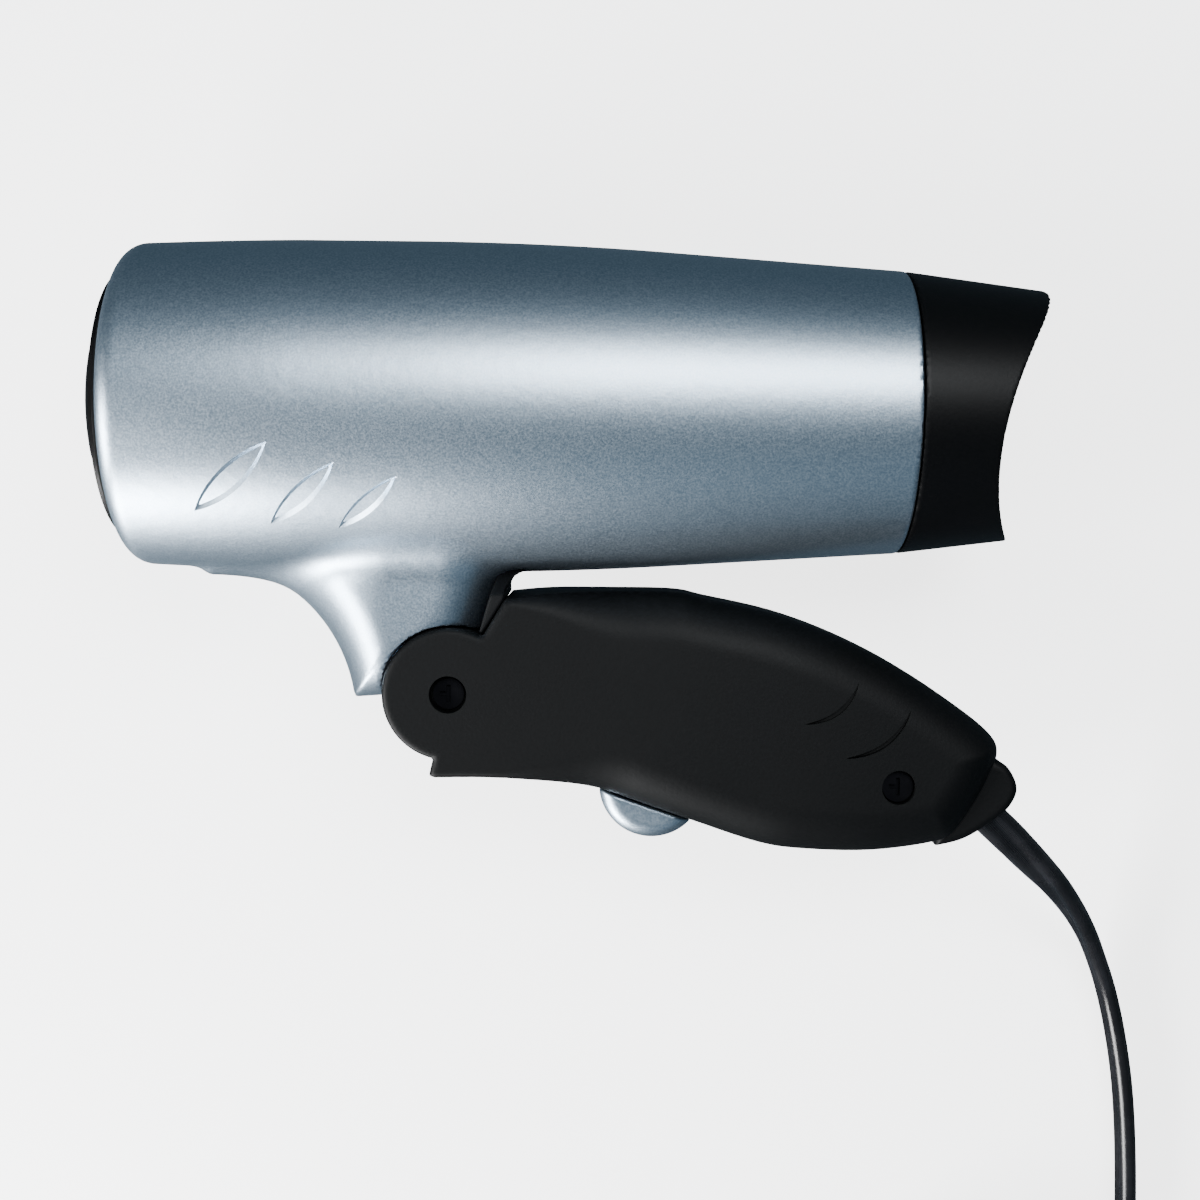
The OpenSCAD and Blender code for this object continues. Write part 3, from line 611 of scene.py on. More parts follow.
# %% [markdown]
# ## Barrel shell with its neck
# The barrel is a tube that is level at the back and tapers to the front. Its neck reaches down
# to the hinge, with a swept back edge, a pointed tail behind the handle's head and a round socket.
# The real shell is two painted halves that meet at the middle plane. One half is worked out and
# the other is its mirror.

# %% Shell sizes, as in the CAD
BARREL_R, REAR_X, FRONT_X, WALL = 32.4, -85.0, 65.5, 2.2
NOSE_LONG, NOSE_DEEP = 4, 3.3
CROWN_X, CROWN_LONG, CROWN_DEEP = -50, 31, 0.9
TAPER_X, BEND, DROP = -28.0, 48.0, 4.7
TAPER_K = DROP / (BEND ** 2 + 2 * BEND * (FRONT_X - TAPER_X - BEND))
HALF, HEAD_R, SOCKET_R, HEAD_ROOM = 15.0, 12.8, 13.2, 13.4
TONGUE_R, TONGUE_HALF, TONGUE_ROOM, SLEEVE_BORE = 10, 6, 6.4, 3.05


def shell_radius(x):
    t = np.clip(x - TAPER_X, 0, None)
    taper = TAPER_K * np.where(t < BEND, t ** 2, BEND ** 2 + 2 * BEND * (t - BEND))
    s = np.clip((REAR_X + NOSE_LONG - x) / NOSE_LONG, 0, 1)
    nose = NOSE_DEEP * (1 - np.sqrt(np.clip(1 - s ** 2, 0, 1)))
    crown = CROWN_DEEP * np.clip((CROWN_X - x) / CROWN_LONG, 0, 1) ** 1.5
    return BARREL_R - taper - nose - crown


def swell(x, start, end):
    t = np.clip((x - start) / (end - start), 0, 1)
    return t * t * (3 - 2 * t)


def bow(centre, radius, start, end, count):
    a = np.radians(np.linspace(start, end, count))
    return np.stack([centre[0] + radius * np.cos(a), centre[1] + radius * np.sin(a)], 1)


BACK_R, TAIL_X, TAIL_RISE, TAIL_R = 28.626, PIVOT[0] - 19.7, 4.9, 19.4
BACK_END = math.degrees(math.asin(TAIL_RISE / BACK_R))
BACK_AT = (TAIL_X - BACK_R * math.cos(math.radians(BACK_END)), AXIS_Y - BARREL_R - BACK_R)
NECK_FRONT, NECK_ROOT = PIVOT[0] + 9, AXIS_Y - 12
FOOT = bow(PIVOT, SOCKET_R, 64, 64, 1)[0]
neck_plan = Plan(np.vstack([
    bow(BACK_AT, BACK_R, 90, BACK_END, 24), bow(PIVOT, TAIL_R, 184.5, 186, 3), [PIVOT], [FOOT],
    [(NECK_FRONT, AXIS_Y - 32.2), (NECK_FRONT, NECK_ROOT), (BACK_AT[0], NECK_ROOT)]]))
TAIL_HALF, TAIL_ROUND, NECK_ROUND, NECK_FILLET = 3, 1.5, 11.0, 5.0


def shell_form(x, y, z):
    r = np.hypot(y - AXIS_Y, z - AXIS_Z)
    outer = r - shell_radius(x)
    thick = TAIL_HALF + (HALF - TAIL_HALF) * swell(x, BACK_AT[0] - 2, -33)
    edge = TAIL_ROUND + (NECK_ROUND - TAIL_ROUND) * swell(x, -72, -52)
    neck = slab(neck_plan(x, y), np.abs(z - AXIS_Z) - thick, edge)
    hinge_r = np.hypot(x - PIVOT[0], y - PIVOT[1])
    body = both(joined(outer, neck, NECK_FILLET), SOCKET_R - hinge_r, 0.4)
    root = np.maximum(np.maximum(hinge_r - 15, PIVOT[1] + 3 - y), np.abs(x - PIVOT[0] + 3) - 7)
    tongue = slab(np.minimum(hinge_r - TONGUE_R, root), np.abs(z - AXIS_Z) - TONGUE_HALF, 0.6)
    body = np.minimum(body, tongue)
    body = both(body, -(hinge_r - SLEEVE_BORE), 0.4)
    body = both(body, -(r - shell_radius(x) + WALL), 0.5)
    return both(body, np.maximum(REAR_X - x, x - FRONT_X), 0.7)


shell_skin = skin(above_seam(shell_form), (-86.3, -42.3, 31.8), (66.8, 60.6, 65.8), 0.64,
                  whole=shell_form)
print("half shell faces:", len(shell_skin[1]))

# %% [markdown]
# Three pointed leaves are pressed into each side of the barrel. Their edges are crisp, so they are
# cut out after the meshing: each cutter is a leaf bent round the barrel, whose floor lies 0.7 mm
# under the paint and whose walls slope, as a mould needs. A leaf is where two equal arcs cross.

# %% Cut the leaves
def leaf_cutter(start, end, width, depth, side):
    """A leaf between two places, each given as (x, degrees from the top towards the handle)."""
    centre_x, turn = (start[0] + end[0]) / 2, math.radians((start[1] + end[1]) / 2)
    radius = float(shell_radius(np.array(centre_x)))
    dx, dv = end[0] - start[0], math.radians(start[1] - end[1]) * radius
    long = math.hypot(dx, dv)
    ux, uv = dx / long, dv / long
    n, m, points, faces = 40, 8, [], []
    above = 3
    for level in (0, 1):
        flare = 2 * (depth + above if level else 0) - 2 * depth
        length, wide = long + 1.5 * flare, width + flare
        arc_r = (length * length + wide * wide) / (4 * wide)
        for i in range(n + 1):
            s = (i / n - 0.5) * length
            half = math.sqrt(arc_r ** 2 - s * s) - (arc_r - wide / 2) + 0.02
            for j in range(m + 1):
                t = (2 * j / m - 1) * half
                x = centre_x + s * ux - t * uv
                a = turn - (s * uv + t * ux) / radius
                r = float(shell_radius(np.array(x))) + (above if level else -depth)
                points.append((x, AXIS_Y - r * math.sin(a), AXIS_Z + side * r * math.cos(a)))
    row, layer = m + 1, (n + 1) * (m + 1)
    for i in range(n):
        for j in range(m):
            q = i * row + j
            faces.append((q, q + row, q + row + 1, q + 1))
            faces.append((layer + q, layer + q + 1, layer + q + row + 1, layer + q + row))
        for j, flip in ((0, 1), (m, -1)):
            q = i * row + j
            faces.append((q, layer + q, layer + q + row, q + row)[::flip])
    for i, flip in ((0, -1), (n, 1)):
        for j in range(m):
            q = i * row + j
            faces.append((q, layer + q, layer + q + 1, q + 1)[::flip])
    return turned_out(mesh_object("cutter", points, faces, FINISH["silver"], smooth=False))


def turned_out(obj):
    """Merges doubles and turns every face outwards."""
    bm = bmesh.new()
    bm.from_mesh(obj.data)
    bmesh.ops.remove_doubles(bm, verts=bm.verts, dist=1e-7)
    bmesh.ops.recalc_face_normals(bm, faces=bm.faces)
    bm.to_mesh(obj.data)
    bm.free()
    return obj


LEAF_DEEP = 0.7
LEAVES = [((-67.8, 39.3), (-53.3, 14.0), 4.6), ((-54.1, 44.2), (-41.4, 20.6), 4.0),
          ((-41.6, 45.8), (-30.3, 25.2), 3.4)]
for side, name in ((1, "barrel_shell_right"), (-1, "barrel_shell_left")):
    points, faces = shell_skin if side > 0 else mirrored(*shell_skin)
    shell = mesh_object("painted_" + name, points, faces.tolist(), FINISH["silver"])
    cut_with(shell, [leaf_cutter(a, b, w, LEAF_DEEP, side) for a, b, w in LEAVES])
    crisp(shell)
    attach(shell, "barrel")
    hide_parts(name)
    print(shell.name, "faces:", len(shell.data.polygons))

# %% [markdown]
# ## Handle
# The grip is two hollow black halves. From the side it is a long leaf with a round head at the
# hinge. The outline goes through the CAD's points, and the edges get rounder away from the head,
# whose cheeks are flat. Slots take the neck's tongue and the switch, and recesses the two screws.

# %% Handle sizes, as in the CAD
LONG, DEEP = 108.0, 46.0
SHARES = [(0.1, 0.402), (0.204, 0.426), (0.39, 0.431), (0.463, 0.402), (0.588, 0.339),
          (0.704, 0.243), (0.819, 0.109), (0.935, -0.07), (0.99, -0.18), (1, -0.257),
          (0.987, -0.343), (0.968, -0.437), (0.923, -0.596), (0.88, -0.643), (0.769, -0.676),
          (0.648, -0.67), (0.563, -0.643), (0.444, -0.554), (0.34, -0.472), (0.244, -0.398),
          (0.102, -0.352), (-0.024, -0.352)]


def on_handle(share):
    return (PIVOT[0] + share[0] * LONG, PIVOT[1] + share[1] * DEEP)


handle_plan = Plan(np.vstack([
    smoothed([on_handle(s) for s in SHARES], 5), bow(PIVOT, 16.2, 257, 257.1, 2),
    bow(PIVOT, HEAD_R, 257, 62, 60), bow(PIVOT, 13.4, 61, 60, 2)]))
END_SCREW = on_handle((0.806, -0.372))
SWITCH_AT, SWITCH_TILT = on_handle((0.358, -0.486)), -18.4


def switch_frame(x, y):
    c, s = math.cos(math.radians(SWITCH_TILT)), math.sin(math.radians(SWITCH_TILT))
    dx, dy = x - SWITCH_AT[0], y - SWITCH_AT[1]
    return dx * c + dy * s, dy * c - dx * s


bush_plan = Plan(np.vstack([
    [on_handle((0.93, -0.3))],
    smoothed([on_handle(p) for p in [(0.99, -0.272), (1.018, -0.308), (1.036, -0.385),
              (1.032, -0.45), (1.008, -0.52), (0.945, -0.62), (0.89, -0.657)]], 5),
    [on_handle((0.89, -0.54)), on_handle((0.93, -0.42))]]))


GRIP_MORE, END_LESS, HEAD_EDGE, GRIP_EDGE, GRIP_WALL = 0.5, 2.2, 1.2, 8.3, 2.3
POST_R, BUSH_HALF = 5, 7.0


def handle_form(x, y, z):
    plan, up = handle_plan(x, y), np.abs(z - AXIS_Z)
    grip = swell(x, -14, 14)
    thick = HALF + GRIP_MORE * grip * swell(x, 0, 30) - END_LESS * swell(x, 40, 86)
    body = slab(plan, up - thick, HEAD_EDGE + GRIP_EDGE * grip)
    hollow = np.maximum(body + GRIP_WALL, -6 - x)
    post = np.hypot(x - END_SCREW[0], y - END_SCREW[1]) - POST_R
    body = np.maximum(body, -np.maximum(hollow, -post))
    head = np.hypot(x - PIVOT[0], y - PIVOT[1])
    body = np.maximum(body, -np.maximum(head - HEAD_ROOM, up - TONGUE_ROOM))
    u, v = switch_frame(x, y)
    body = np.maximum(body, -np.maximum(np.maximum(np.abs(u) - 8.4, np.abs(v - 3) - 6), up - 2.8))
    return both(body, -np.maximum(bush_plan(x, y), up - BUSH_HALF), 0.5)


handle_skin = skin(above_seam(handle_form), (-36.3, -61.0, 31.8), (88.0, -4.5, 49.2), 0.55,
                   whole=handle_form)
print("half handle faces:", len(handle_skin[1]))


# %% Cut the screw recesses and the two leaf lines
def upright(ring, low, high, caps):
    """A straight cutter: a ring at two heights, walls between them, and the given end faces."""
    m = len(ring)
    points = [(*p, z) for z in (low, high) for p in ring]
    walls = [(k, (k + 1) % m, m + (k + 1) % m, m + k) for k in range(m)]
    return mesh_object("cutter", points, walls + caps, FINISH["black"], smooth=False)


def drum(x, y, radius, low, high, sides=64):
    ring = bow((x, y), radius, 0, 360 - 360 / sides, sides)
    return upright(ring, low, high, [tuple(range(sides))[::-1], tuple(range(sides, 2 * sides))])


def crescent(start, end, width, low, high):
    """The lower right edge of a leaf as a thin curved blade."""
    (x0, y0), (x1, y1) = start, end
    long = math.hypot(x1 - x0, y1 - y0)
    u = np.array([(x1 - x0) / long, (y1 - y0) / long])
    v = np.array([(y1 - y0) / long, (x0 - x1) / long])
    n, outer, inner = 28, [], []
    for i in range(n + 1):
        s = i / n
        rise = 4 * s * (1 - s)
        mid = np.array(start) + u * long * s
        outer.append(mid + v * (width * rise + 0.02))
        inner.append(mid + v * (width * rise - 0.9 * rise ** 0.7 - 0.02))
    ring = outer + inner[::-1]
    m = len(ring)
    caps = [(i, 2 * n + 1 - i, 2 * n - i, i + 1) for i in range(n)]
    caps += [(m + i, m + i + 1, m + 2 * n - i, m + 2 * n + 1 - i) for i in range(n)]
    return turned_out(upright(ring, low, high, caps))


GRIP_LEAVES = [((46.7, -33.1), (56.9, -25.2), 2.4, 14.1),
               ((54.6, -39.7), (67.2, -30.5), 2.7, 13.2)]
BORE_R, PILOT_R, SEAT_FLOOR, HINGE_SEAT_R, END_SEAT_R = 1.75, 1.62, 11, 3.6, 3.3
for side, name in ((1, "handle_shell_right"), (-1, "handle_shell_left")):
    points, faces = handle_skin if side > 0 else mirrored(*handle_skin)
    half = mesh_object("grip_" + name, points, faces.tolist(), FINISH["black"])
    ends = lambda a, b: sorted((AXIS_Z + side * a, AXIS_Z + side * b))
    cutters = [drum(*PIVOT, 3.0, *ends(-1, 9.1))]
    cutters += [crescent(a, b, w, *ends(low, 20)) for a, b, w, low in GRIP_LEAVES]
    if side > 0:
        cutters += [drum(*PIVOT, BORE_R, *ends(8, 12)),
                    drum(*PIVOT, HINGE_SEAT_R, *ends(SEAT_FLOOR, 20)),
                    drum(*END_SCREW, BORE_R, *ends(-1, 12)),
                    drum(*END_SCREW, END_SEAT_R, *ends(SEAT_FLOOR, 20))]
    else:
        cutters += [drum(*PIVOT, PILOT_R, *ends(8, 12)), drum(*END_SCREW, PILOT_R, *ends(-1, 12))]
    cut_with(half, cutters)
    crisp(half)
    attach(half, "handle")
    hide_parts(name)
    print(half.name, "faces:", len(half.data.polygons))

# %% [markdown]
# ## Small moulded pieces
# The knob, the cord bushing, the nozzle, the black sheet of painted shade on the neck's front and the
# plug use the same tools: a plan or a turned profile, a thickness and soft edges. A finer grid suits
# their smaller radii.

# %% Knob, bushing, nozzle, painted shade sheet and plug
def moulded_piece(name, form, low, high, step, finish, body, stands_for):
    points, faces = skin(form, low, high, step)
    obj = mesh_object(name, points, faces.tolist(), FINISH[finish])
    crisp(obj, 40)
    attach(obj, body)
    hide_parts(stands_for)
    print(name, "faces:", len(faces))
    return obj


KNOB_R, KNOB_HALF, KNOB_EDGE = 10.5, 5.5, 3.2


def knob_form(x, y, z):
    u, v = switch_frame(x, y)
    disc = slab(np.hypot(u, v - 3.4) - KNOB_R, np.abs(z - AXIS_Z) - KNOB_HALF, KNOB_EDGE)
    cap = both(disc, v + 0.5, 0.8)
    stem = np.maximum(np.maximum(np.abs(u) - 4, np.abs(v - 1.75) - 2.25), np.abs(z - AXIS_Z) - 2.5)
    return np.minimum(cap, stem)


moulded_piece("switch_knob_cap", knob_form, (4, -60, 25.5), (31, -44, 39.3), 0.3,
              "silver", "switch", "switch_knob")


EXIT, EXIT_TILT = on_handle((0.9945, -0.5457)), -43
HOLE_WIDE, HOLE_THICK, HOLE_DEEP = 3.8, 2.1, 4


def bushing_form(x, y, z):
    up = np.abs(z - AXIS_Z)
    c, s = math.cos(math.radians(EXIT_TILT)), math.sin(math.radians(EXIT_TILT))
    u, v = (x - EXIT[0]) * c + (y - EXIT[1]) * s, (y - EXIT[1]) * c - (x - EXIT[0]) * s
    body = slab(bush_plan(x, y), up - BUSH_HALF, 1.6)
    hole = np.maximum(np.maximum(np.abs(v) - HOLE_WIDE, up - HOLE_THICK), -HOLE_DEEP - u)
    return both(body, -hole, 0.4)


moulded_piece("bushing_collar", bushing_form, (72, -60.5, 24.6), (92, -39, 40.2), 0.3,
              "black", "handle", "cord_bushing")


CONE_X0, CONE_X1, CONE_LONG, CONE_R0, CONE_R1 = 65.8, 93.0, 27.2, 27.65, 24.2
BORE_X, BORE_LONG, BORE_R0, BORE_R1 = 73.3, 19.7, 24.05, 22.4
SCOOP, CUT_DROP, NOZZLE_TURN = 12.4, 2.7, 15


def nozzle_form(x, y, z):
    dy, dz = y - AXIS_Y, z - AXIS_Z
    r = np.hypot(dy, dz)
    along = np.clip((x - CONE_X0) / CONE_LONG, 0, 1)
    cone = r - (CONE_R0 + (CONE_R1 - CONE_R0) * along)
    along = np.clip((x - BORE_X) / BORE_LONG, 0, 1)
    bore = r - (BORE_R0 - (BORE_R0 - BORE_R1) * along)
    body = both(cone, -bore, 0.4)
    body = both(body, np.maximum(CONE_X0 - x, x - CONE_X1), 0.4)
    a = math.radians(NOZZLE_TURN)
    across = dy * math.cos(a) + dz * math.sin(a)
    scoop_r = (SCOOP ** 2 + (CONE_R1 + CUT_DROP) ** 2) / (2 * SCOOP)
    cut = np.hypot(x - (CONE_X1 - SCOOP + scoop_r), across + CUT_DROP)
    return both(body, scoop_r - cut, 0.4)


moulded_piece("nozzle_cone", nozzle_form, (65, -1.5, 3.9), (93.8, 55.5, 60.9), 0.5,
              "nozzle", "nozzle", "concentrator")

# The neck's front gets a black sheet whose black is painted shade: it stands where the silver neck's
# rounded front corner turns away from the light and falls into shadow.
shoulder = np.array(on_handle(SHARES[0]))
SHADE_SHEET_X, SHADE_SHEET_TOP = shoulder[0] + 4.6, AXIS_Y - 29.4
shade_sheet_plan = Plan(np.vstack([
    [FOOT, FOOT + [0.75, -0.05], shoulder + [-0.2, 0.0]],
    bow((SHADE_SHEET_X, AXIS_Y - 36.6), 5, 165, 95, 8),
    [(SHADE_SHEET_X, SHADE_SHEET_TOP), (NECK_FRONT, SHADE_SHEET_TOP), (NECK_FRONT, AXIS_Y - 32.2)]]))


def shade_sheet_form(x, y, z):
    up = np.abs(z - AXIS_Z)
    body = slab(shade_sheet_plan(x, y), up - 14, 0.5)
    body = both(body, up - 8.5 - 1.5 * (AXIS_Y - BARREL_R - y), 0.5)
    return np.maximum(body, shell_radius(x) + 0.05 - np.hypot(y - AXIS_Y, z - AXIS_Z))


moulded_piece("painted_shade_neck_sheet", shade_sheet_form, (-17.5, -18, 17.6), (-5, 3, 47.2), 0.35,
              "web", "barrel", "neck_cover")

PLUG_Y, PLUG_HALF, DENT_AT, DENT_R, RIB_PITCH = -238, 7.5, (25, 12), 4.6, 2.6
plug_plan = Plan([(34, -243), (34, -233), (25, -231), (19, -226), (4, -226), (4, -250),
                  (19, -250), (25, -245)])


def plug_form(x, y, z):
    body = slab(plug_plan(x, y), np.abs(z - PLUG_HALF) - PLUG_HALF, 2.4)
    body = both(body, 4.0 - x, 0.5)
    for side in (-1, 1):
        body = both(body, DENT_R - np.hypot(x - DENT_AT[0], y - PLUG_Y - DENT_AT[1] * side), 1.2)
    rib = np.abs((x - 27) % RIB_PITCH - RIB_PITCH / 2) - 0.5
    grooves = np.maximum(np.maximum(rib, 24.5 - x), x - 33)
    return both(body, -np.maximum(grooves, -(body + 0.7)), 0.3)


plug = moulded_piece("plug_moulding", plug_form, (3.2, -251, -0.9), (35, -225, 15.9), 0.4,
                     "plug", "handle", "plug_body")

# %% [markdown]
# ## What repeats: Geometry Nodes
# The fan's blades, the screws and the heating wire follow rules, so node trees make them. One helper
# adds a tree's nodes and links, and another builds a modifier, sets its inputs by their identifiers,
# and turns the result into a plain mesh. Each tree ends in Realize Instances and Set Material,
# because an export keeps real meshes only.

# %% Helpers for node trees
class Tree:
    def __init__(self, name, inputs):
        self.group = bpy.data.node_groups.new(name, "GeometryNodeTree")
        socket = self.group.interface.new_socket
        socket("Geometry", in_out="INPUT", socket_type="NodeSocketGeometry")
        self.ids = {}
        for label, default in inputs.items():
            kind = "NodeSocketInt" if isinstance(default, int) else "NodeSocketFloat"
            s = socket(label, in_out="INPUT", socket_type=kind)
            s.default_value = default
            self.ids[label] = s.identifier
        socket("Geometry", in_out="OUTPUT", socket_type="NodeSocketGeometry")
        self.start = self.group.nodes.new("NodeGroupInput")
        self.end = self.group.nodes.new("NodeGroupOutput")

    def input(self, label):
        return self.start.outputs[label]

    def add(self, kind, settings=None, sockets=None, out=0):
        n = self.group.nodes.new(kind)
        for key, value in (settings or {}).items():
            setattr(n, key, value)
        for key, value in (sockets or {}).items():
            for v in (value if isinstance(value, list) else [value]):
                if isinstance(v, bpy.types.NodeSocket):
                    self.group.links.new(v, n.inputs[key])
                else:
                    n.inputs[key].default_value = v
        return n.outputs[out]

    def maths(self, kind, *values):
        return self.add("ShaderNodeMath", {"operation": kind}, dict(enumerate(values)))

    def raised(self, geometry, height):
        up = self.add("ShaderNodeCombineXYZ", {}, {"Z": height})
        return self.add("GeometryNodeTransform", {}, {"Geometry": geometry, "Translation": up})

    def close(self, shape, finish):
        """Stands the shape on each point that comes in, as real mesh with its finish."""
        stood = self.add("GeometryNodeInstanceOnPoints", {}, {
            "Points": self.input("Geometry"), "Instance": shape})
        real = self.add("GeometryNodeRealizeInstances", {}, {"Geometry": stood})
        done = self.add("GeometryNodeSetMaterial", {}, {"Geometry": real, "Material": finish})
        self.group.links.new(done, self.end.inputs[0])


def grown(name, tree, points, values):
    """Runs a tree on some points and returns the result as a plain mesh object."""
    mesh = bpy.data.meshes.new(name)
    mesh.from_pydata([tuple(c * MM for c in p) for p in points], [], [])
    obj = added(name, mesh)
    m = obj.modifiers.new("grow", "NODES")
    m.node_group = tree.group
    for label, value in values.items():
        m[tree.ids[label]] = value
    keep_result(obj)
    crisp(obj, 35)
    print(name, "faces:", len(obj.data.polygons))
    return obj


# %% [markdown]
# A cross-head screw is turned and then punched: a low drum, a thin shank, and a cross pressed into the
# head. In the tree, a boolean takes two bars from the head, and the result stands on each point.

# %% Screws
screws = Tree("screws", {"Head Radius": 0.003, "Head Height": 0.0018,
                         "Shank Radius": 0.0016, "Shank Length": 0.023})
t = screws
tall = t.input("Head Height")
head = t.add("GeometryNodeMeshCylinder", {}, {
    "Vertices": 40, "Radius": t.input("Head Radius"), "Depth": tall})
bars = [t.add("GeometryNodeMeshCube", {}, {"Size": size}) for size in
        ((0.0034, 0.0008, 0.0018), (0.0008, 0.0034, 0.0018))]
cross = [t.raised(bar, t.maths("MULTIPLY", tall, 0.62)) for bar in bars]
punched = t.add("GeometryNodeMeshBoolean", {"operation": "DIFFERENCE"}, {
    "Mesh 1": head, "Mesh 2": cross})
shank = t.add("GeometryNodeMeshCylinder", {}, {
    "Vertices": 24, "Radius": t.input("Shank Radius"), "Depth": t.input("Shank Length")})
# The screws' near-black finish is partly blackened steel and partly painted shade of their recesses.
t.close(t.add("GeometryNodeJoinGeometry", {}, {"Geometry": [
    t.raised(punched, t.maths("MULTIPLY", tall, 0.5)),
    t.raised(shank, t.maths("MULTIPLY", t.input("Shank Length"), -0.5))]}), FINISH["dark_steel_and_shade"])
pair = grown("cross_head_screws", screws, [(*at, AXIS_Z + SEAT_FLOOR) for at in (PIVOT, END_SCREW)],
             {"Head Radius": 0.003})
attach(pair, "handle")
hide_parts("hinge_screw", "handle_screw")

# %% [markdown]
# The fan is a hub with seven blades set at an angle round it. Points of a circle carry one blade each,
# and each blade is turned about the shaft by its own place in the circle.

# %% Fan
fan = Tree("fan", {"Blades": 7, "Hub Radius": 0.009, "Tip Radius": 0.026, "Width": 0.012,
                   "Pitch": math.radians(38)})
t = fan
span = t.maths("SUBTRACT", t.input("Tip Radius"), t.input("Hub Radius"))
spots = t.add("GeometryNodeMeshCircle", {}, {"Vertices": t.input("Blades"), "Radius": t.maths(
    "ADD", t.input("Hub Radius"), t.maths("MULTIPLY", span, 0.5))})
blade = t.add("GeometryNodeMeshCube", {}, {"Size": t.add("ShaderNodeCombineXYZ", {}, {
    "X": t.maths("ADD", span, 0.001), "Y": 0.0012, "Z": t.maths("MULTIPLY", t.input("Width"), 1.15)}),
    "Vertices X": 6, "Vertices Z": 4})
pitched = t.add("GeometryNodeTransform", {}, {"Geometry": blade, "Rotation": t.add(
    "ShaderNodeCombineXYZ", {}, {"X": t.input("Pitch")})})
step = t.maths("DIVIDE", 2 * math.pi, t.input("Blades"))
turned = t.add("ShaderNodeCombineXYZ", {}, {
    "Z": t.maths("MULTIPLY", t.add("GeometryNodeInputIndex"), step)})
ring = t.add("GeometryNodeInstanceOnPoints", {}, {
    "Points": spots, "Instance": pitched, "Rotation": turned})
hub = t.add("GeometryNodeMeshCylinder", {}, {
    "Vertices": 48, "Radius": t.input("Hub Radius"), "Depth": t.input("Width")})
ALONG_X = (0.0, math.pi / 2, 0.0)
t.close(t.add("GeometryNodeTransform", {}, {
    "Geometry": t.add("GeometryNodeJoinGeometry", {}, {"Geometry": [ring, hub]}),
    "Rotation": ALONG_X}), FINISH["black"])
blades = grown("fan_blades", fan, [(-64, AXIS_Y, AXIS_Z)], {"Blades": 7})
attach(blades, "fan")
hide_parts("fan_impeller")

# %% [markdown]
# The heating wire is a spring of resistance wire wound round the mica boards: a spiral curve with a
# small circle swept along it.

# %% Heating wire
heat = Tree("heating_wire", {"Turns": 9.0, "Coil Radius": 0.0197, "Wire Radius": 0.00042,
                             "Run": 0.0585})
t = heat
spiral = t.add("GeometryNodeCurveSpiral", {}, {
    "Resolution": 48, "Rotations": t.input("Turns"), "Start Radius": t.input("Coil Radius"),
    "End Radius": t.input("Coil Radius"), "Height": t.input("Run")})
round_wire = t.add("GeometryNodeCurvePrimitiveCircle", {}, {
    "Resolution": 10, "Radius": t.input("Wire Radius")})
tube = t.add("GeometryNodeCurveToMesh", {}, {
    "Curve": spiral, "Profile Curve": round_wire, "Fill Caps": True})
t.close(t.add("GeometryNodeTransform", {}, {"Geometry": tube, "Rotation": ALONG_X}), FINISH["wire"])
wire_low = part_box("heater_coil")[0].x / MM
wire = grown("heating_wire", heat, [(wire_low + 0.5, AXIS_Y, AXIS_Z)], {"Turns": 9.0})
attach(wire, "barrel")
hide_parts("heater_coil")

# %% [markdown]
# ## Pieces that keep their CAD shape
# The inner parts, the grille and the plug's blades are plain turned and punched shapes, exact as
# they are. They keep their CAD meshes and only get a finish.

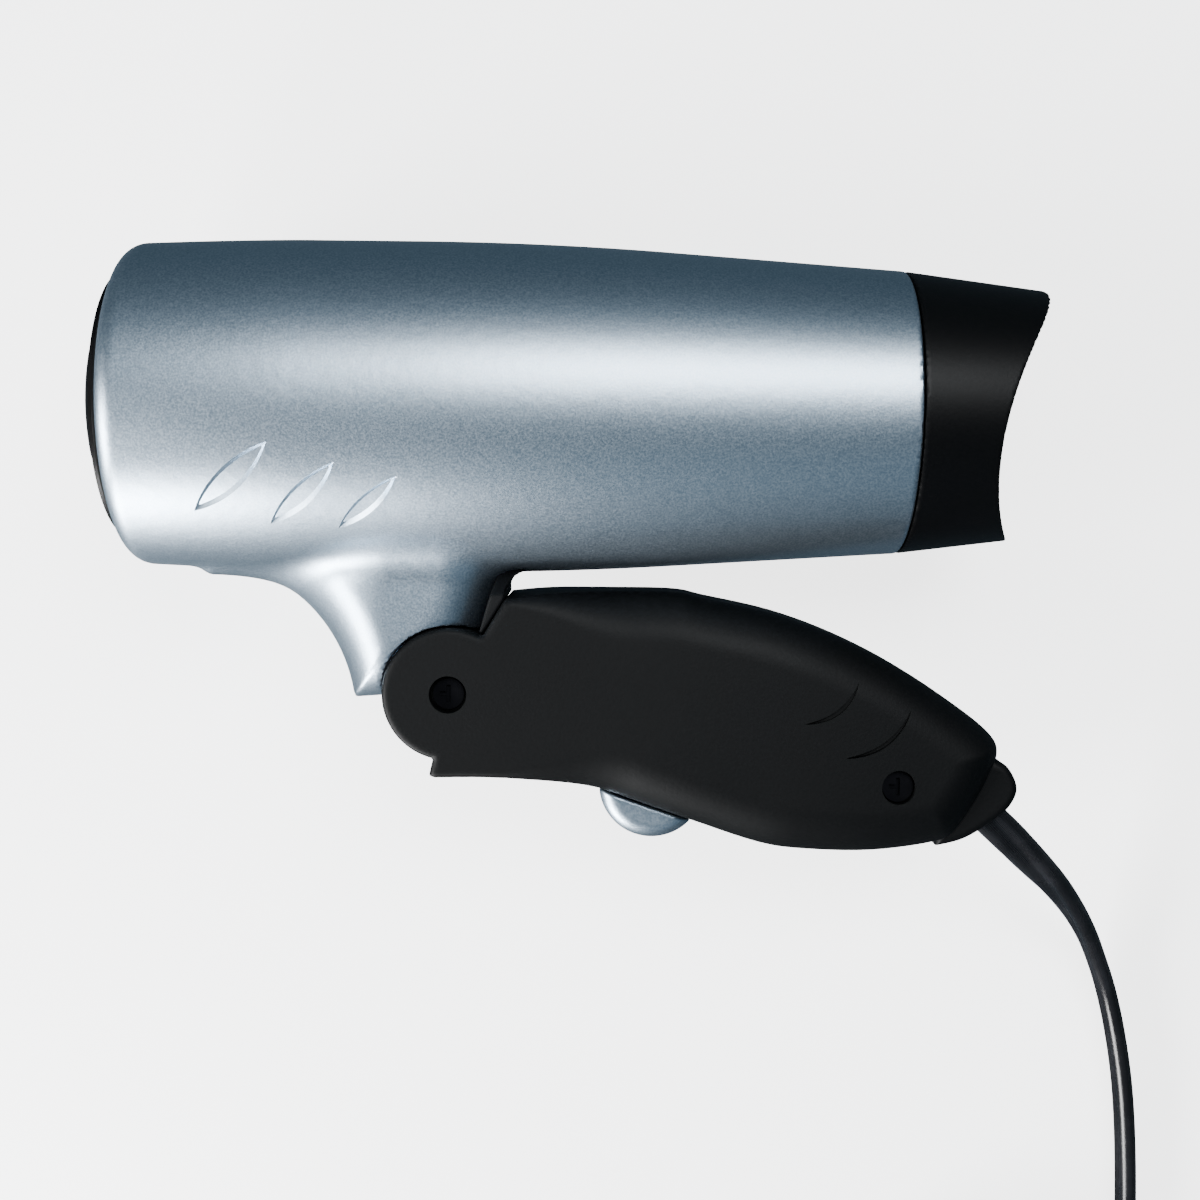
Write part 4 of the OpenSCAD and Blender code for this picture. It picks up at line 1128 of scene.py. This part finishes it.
# %% Finish the CAD nodes
KEPT = {
    "intake_grille": "nozzle", "filter_screen": "mesh", "fan_duct": "pale", "motor": "steel",
    "motor_shaft": "steel", "rectifier_board": "board", "heater_frame": "mica",
    "heater_liner": "mica", "thermostat": "steel", "thermal_fuse": "ceramic",
    "outlet_collar": "nozzle", "hinge_sleeve": "steel", "hinge_washers": "pale",
    "switch_body": "pale", "switch_slider": "pale", "lead_wires": "blue",
    "cord_tie": "plug", "plug_blades": "brass"}
for name, finish in KEPT.items():
    mesh = nodes[name].data
    mesh.materials.clear()
    mesh.materials.append(FINISH[finish])
shown = sorted(n for n, o in nodes.items() if not o.hide_render)
print("shown CAD nodes:", len(shown), "without a finish:", sorted(set(shown) - set(KEPT)))

# %% [markdown]

# %% [markdown]
# ## Table and light
# A pale table, one wide soft lamp over the far side of the barrel, a small one close by at the near
# left, hidden from the camera, one at the left side, and a faint blue fill. The table glows a little
# of its own, so it stays pale without strong lamps, and it is kept out of reflections, so that the
# silver's edges can go dark.

# %% Table, lamps and surroundings
def lamp(name, place, target, power, wide, high, colour=(1, 1, 1)):
    data = bpy.data.lights.new(name, "AREA")
    data.shape, data.size, data.size_y, data.energy, data.color = "RECTANGLE", wide, high, power, colour
    obj = added(name, data)
    obj.matrix_world = aimed(place, target, 0)
    return obj


table = added("table", bpy.data.meshes.new("table"))
bm = bmesh.new()
bmesh.ops.create_circle(bm, cap_ends=True, segments=96, radius=4.0)
bm.to_mesh(table.data)
bm.free()
table_paint = Finish("table_paint", Roughness=0.9, Emission_Strength=3.0)
grain = table_paint.noise(table_paint.place(), 60, 3.0, 0.5)
table_paint.drive("Base Color", table_paint.blend(grain, rgb(236, 236, 237), rgb(241, 241, 241)))
table_paint.shader.inputs["Emission Color"].default_value = (1, 1, 1, 1)
table.data.materials.append(table_paint.material)
table.visible_glossy = False

middle = (0.0, 0.0, 0.03)
rear = (-0.06, -0.01, 0.03)
lamp("key_lamp", (0.26, 0.56, 1.15), middle, 15, 0.80, 0.50, (0.95, 0.98, 1.0))
near = lamp("near_lamp", (-0.27, -0.36, 0.13), rear, 4.2, 0.22, 0.16)
near.visible_camera = False
lamp("side_lamp", (-0.95, -0.30, 0.50), rear, 22, 0.5, 0.5)
lamp("low_fill", (0.35, -0.95, 0.85), middle, 0.3, 1.1, 0.9, (0.55, 0.80, 1.0))
world = bpy.data.worlds.new("studio")
world.use_nodes = True
sky = world.node_tree.nodes["Background"].inputs
sky["Color"].default_value, sky["Strength"].default_value = (0.50, 0.78, 1.0, 1), 0.10
bpy.context.scene.world = world
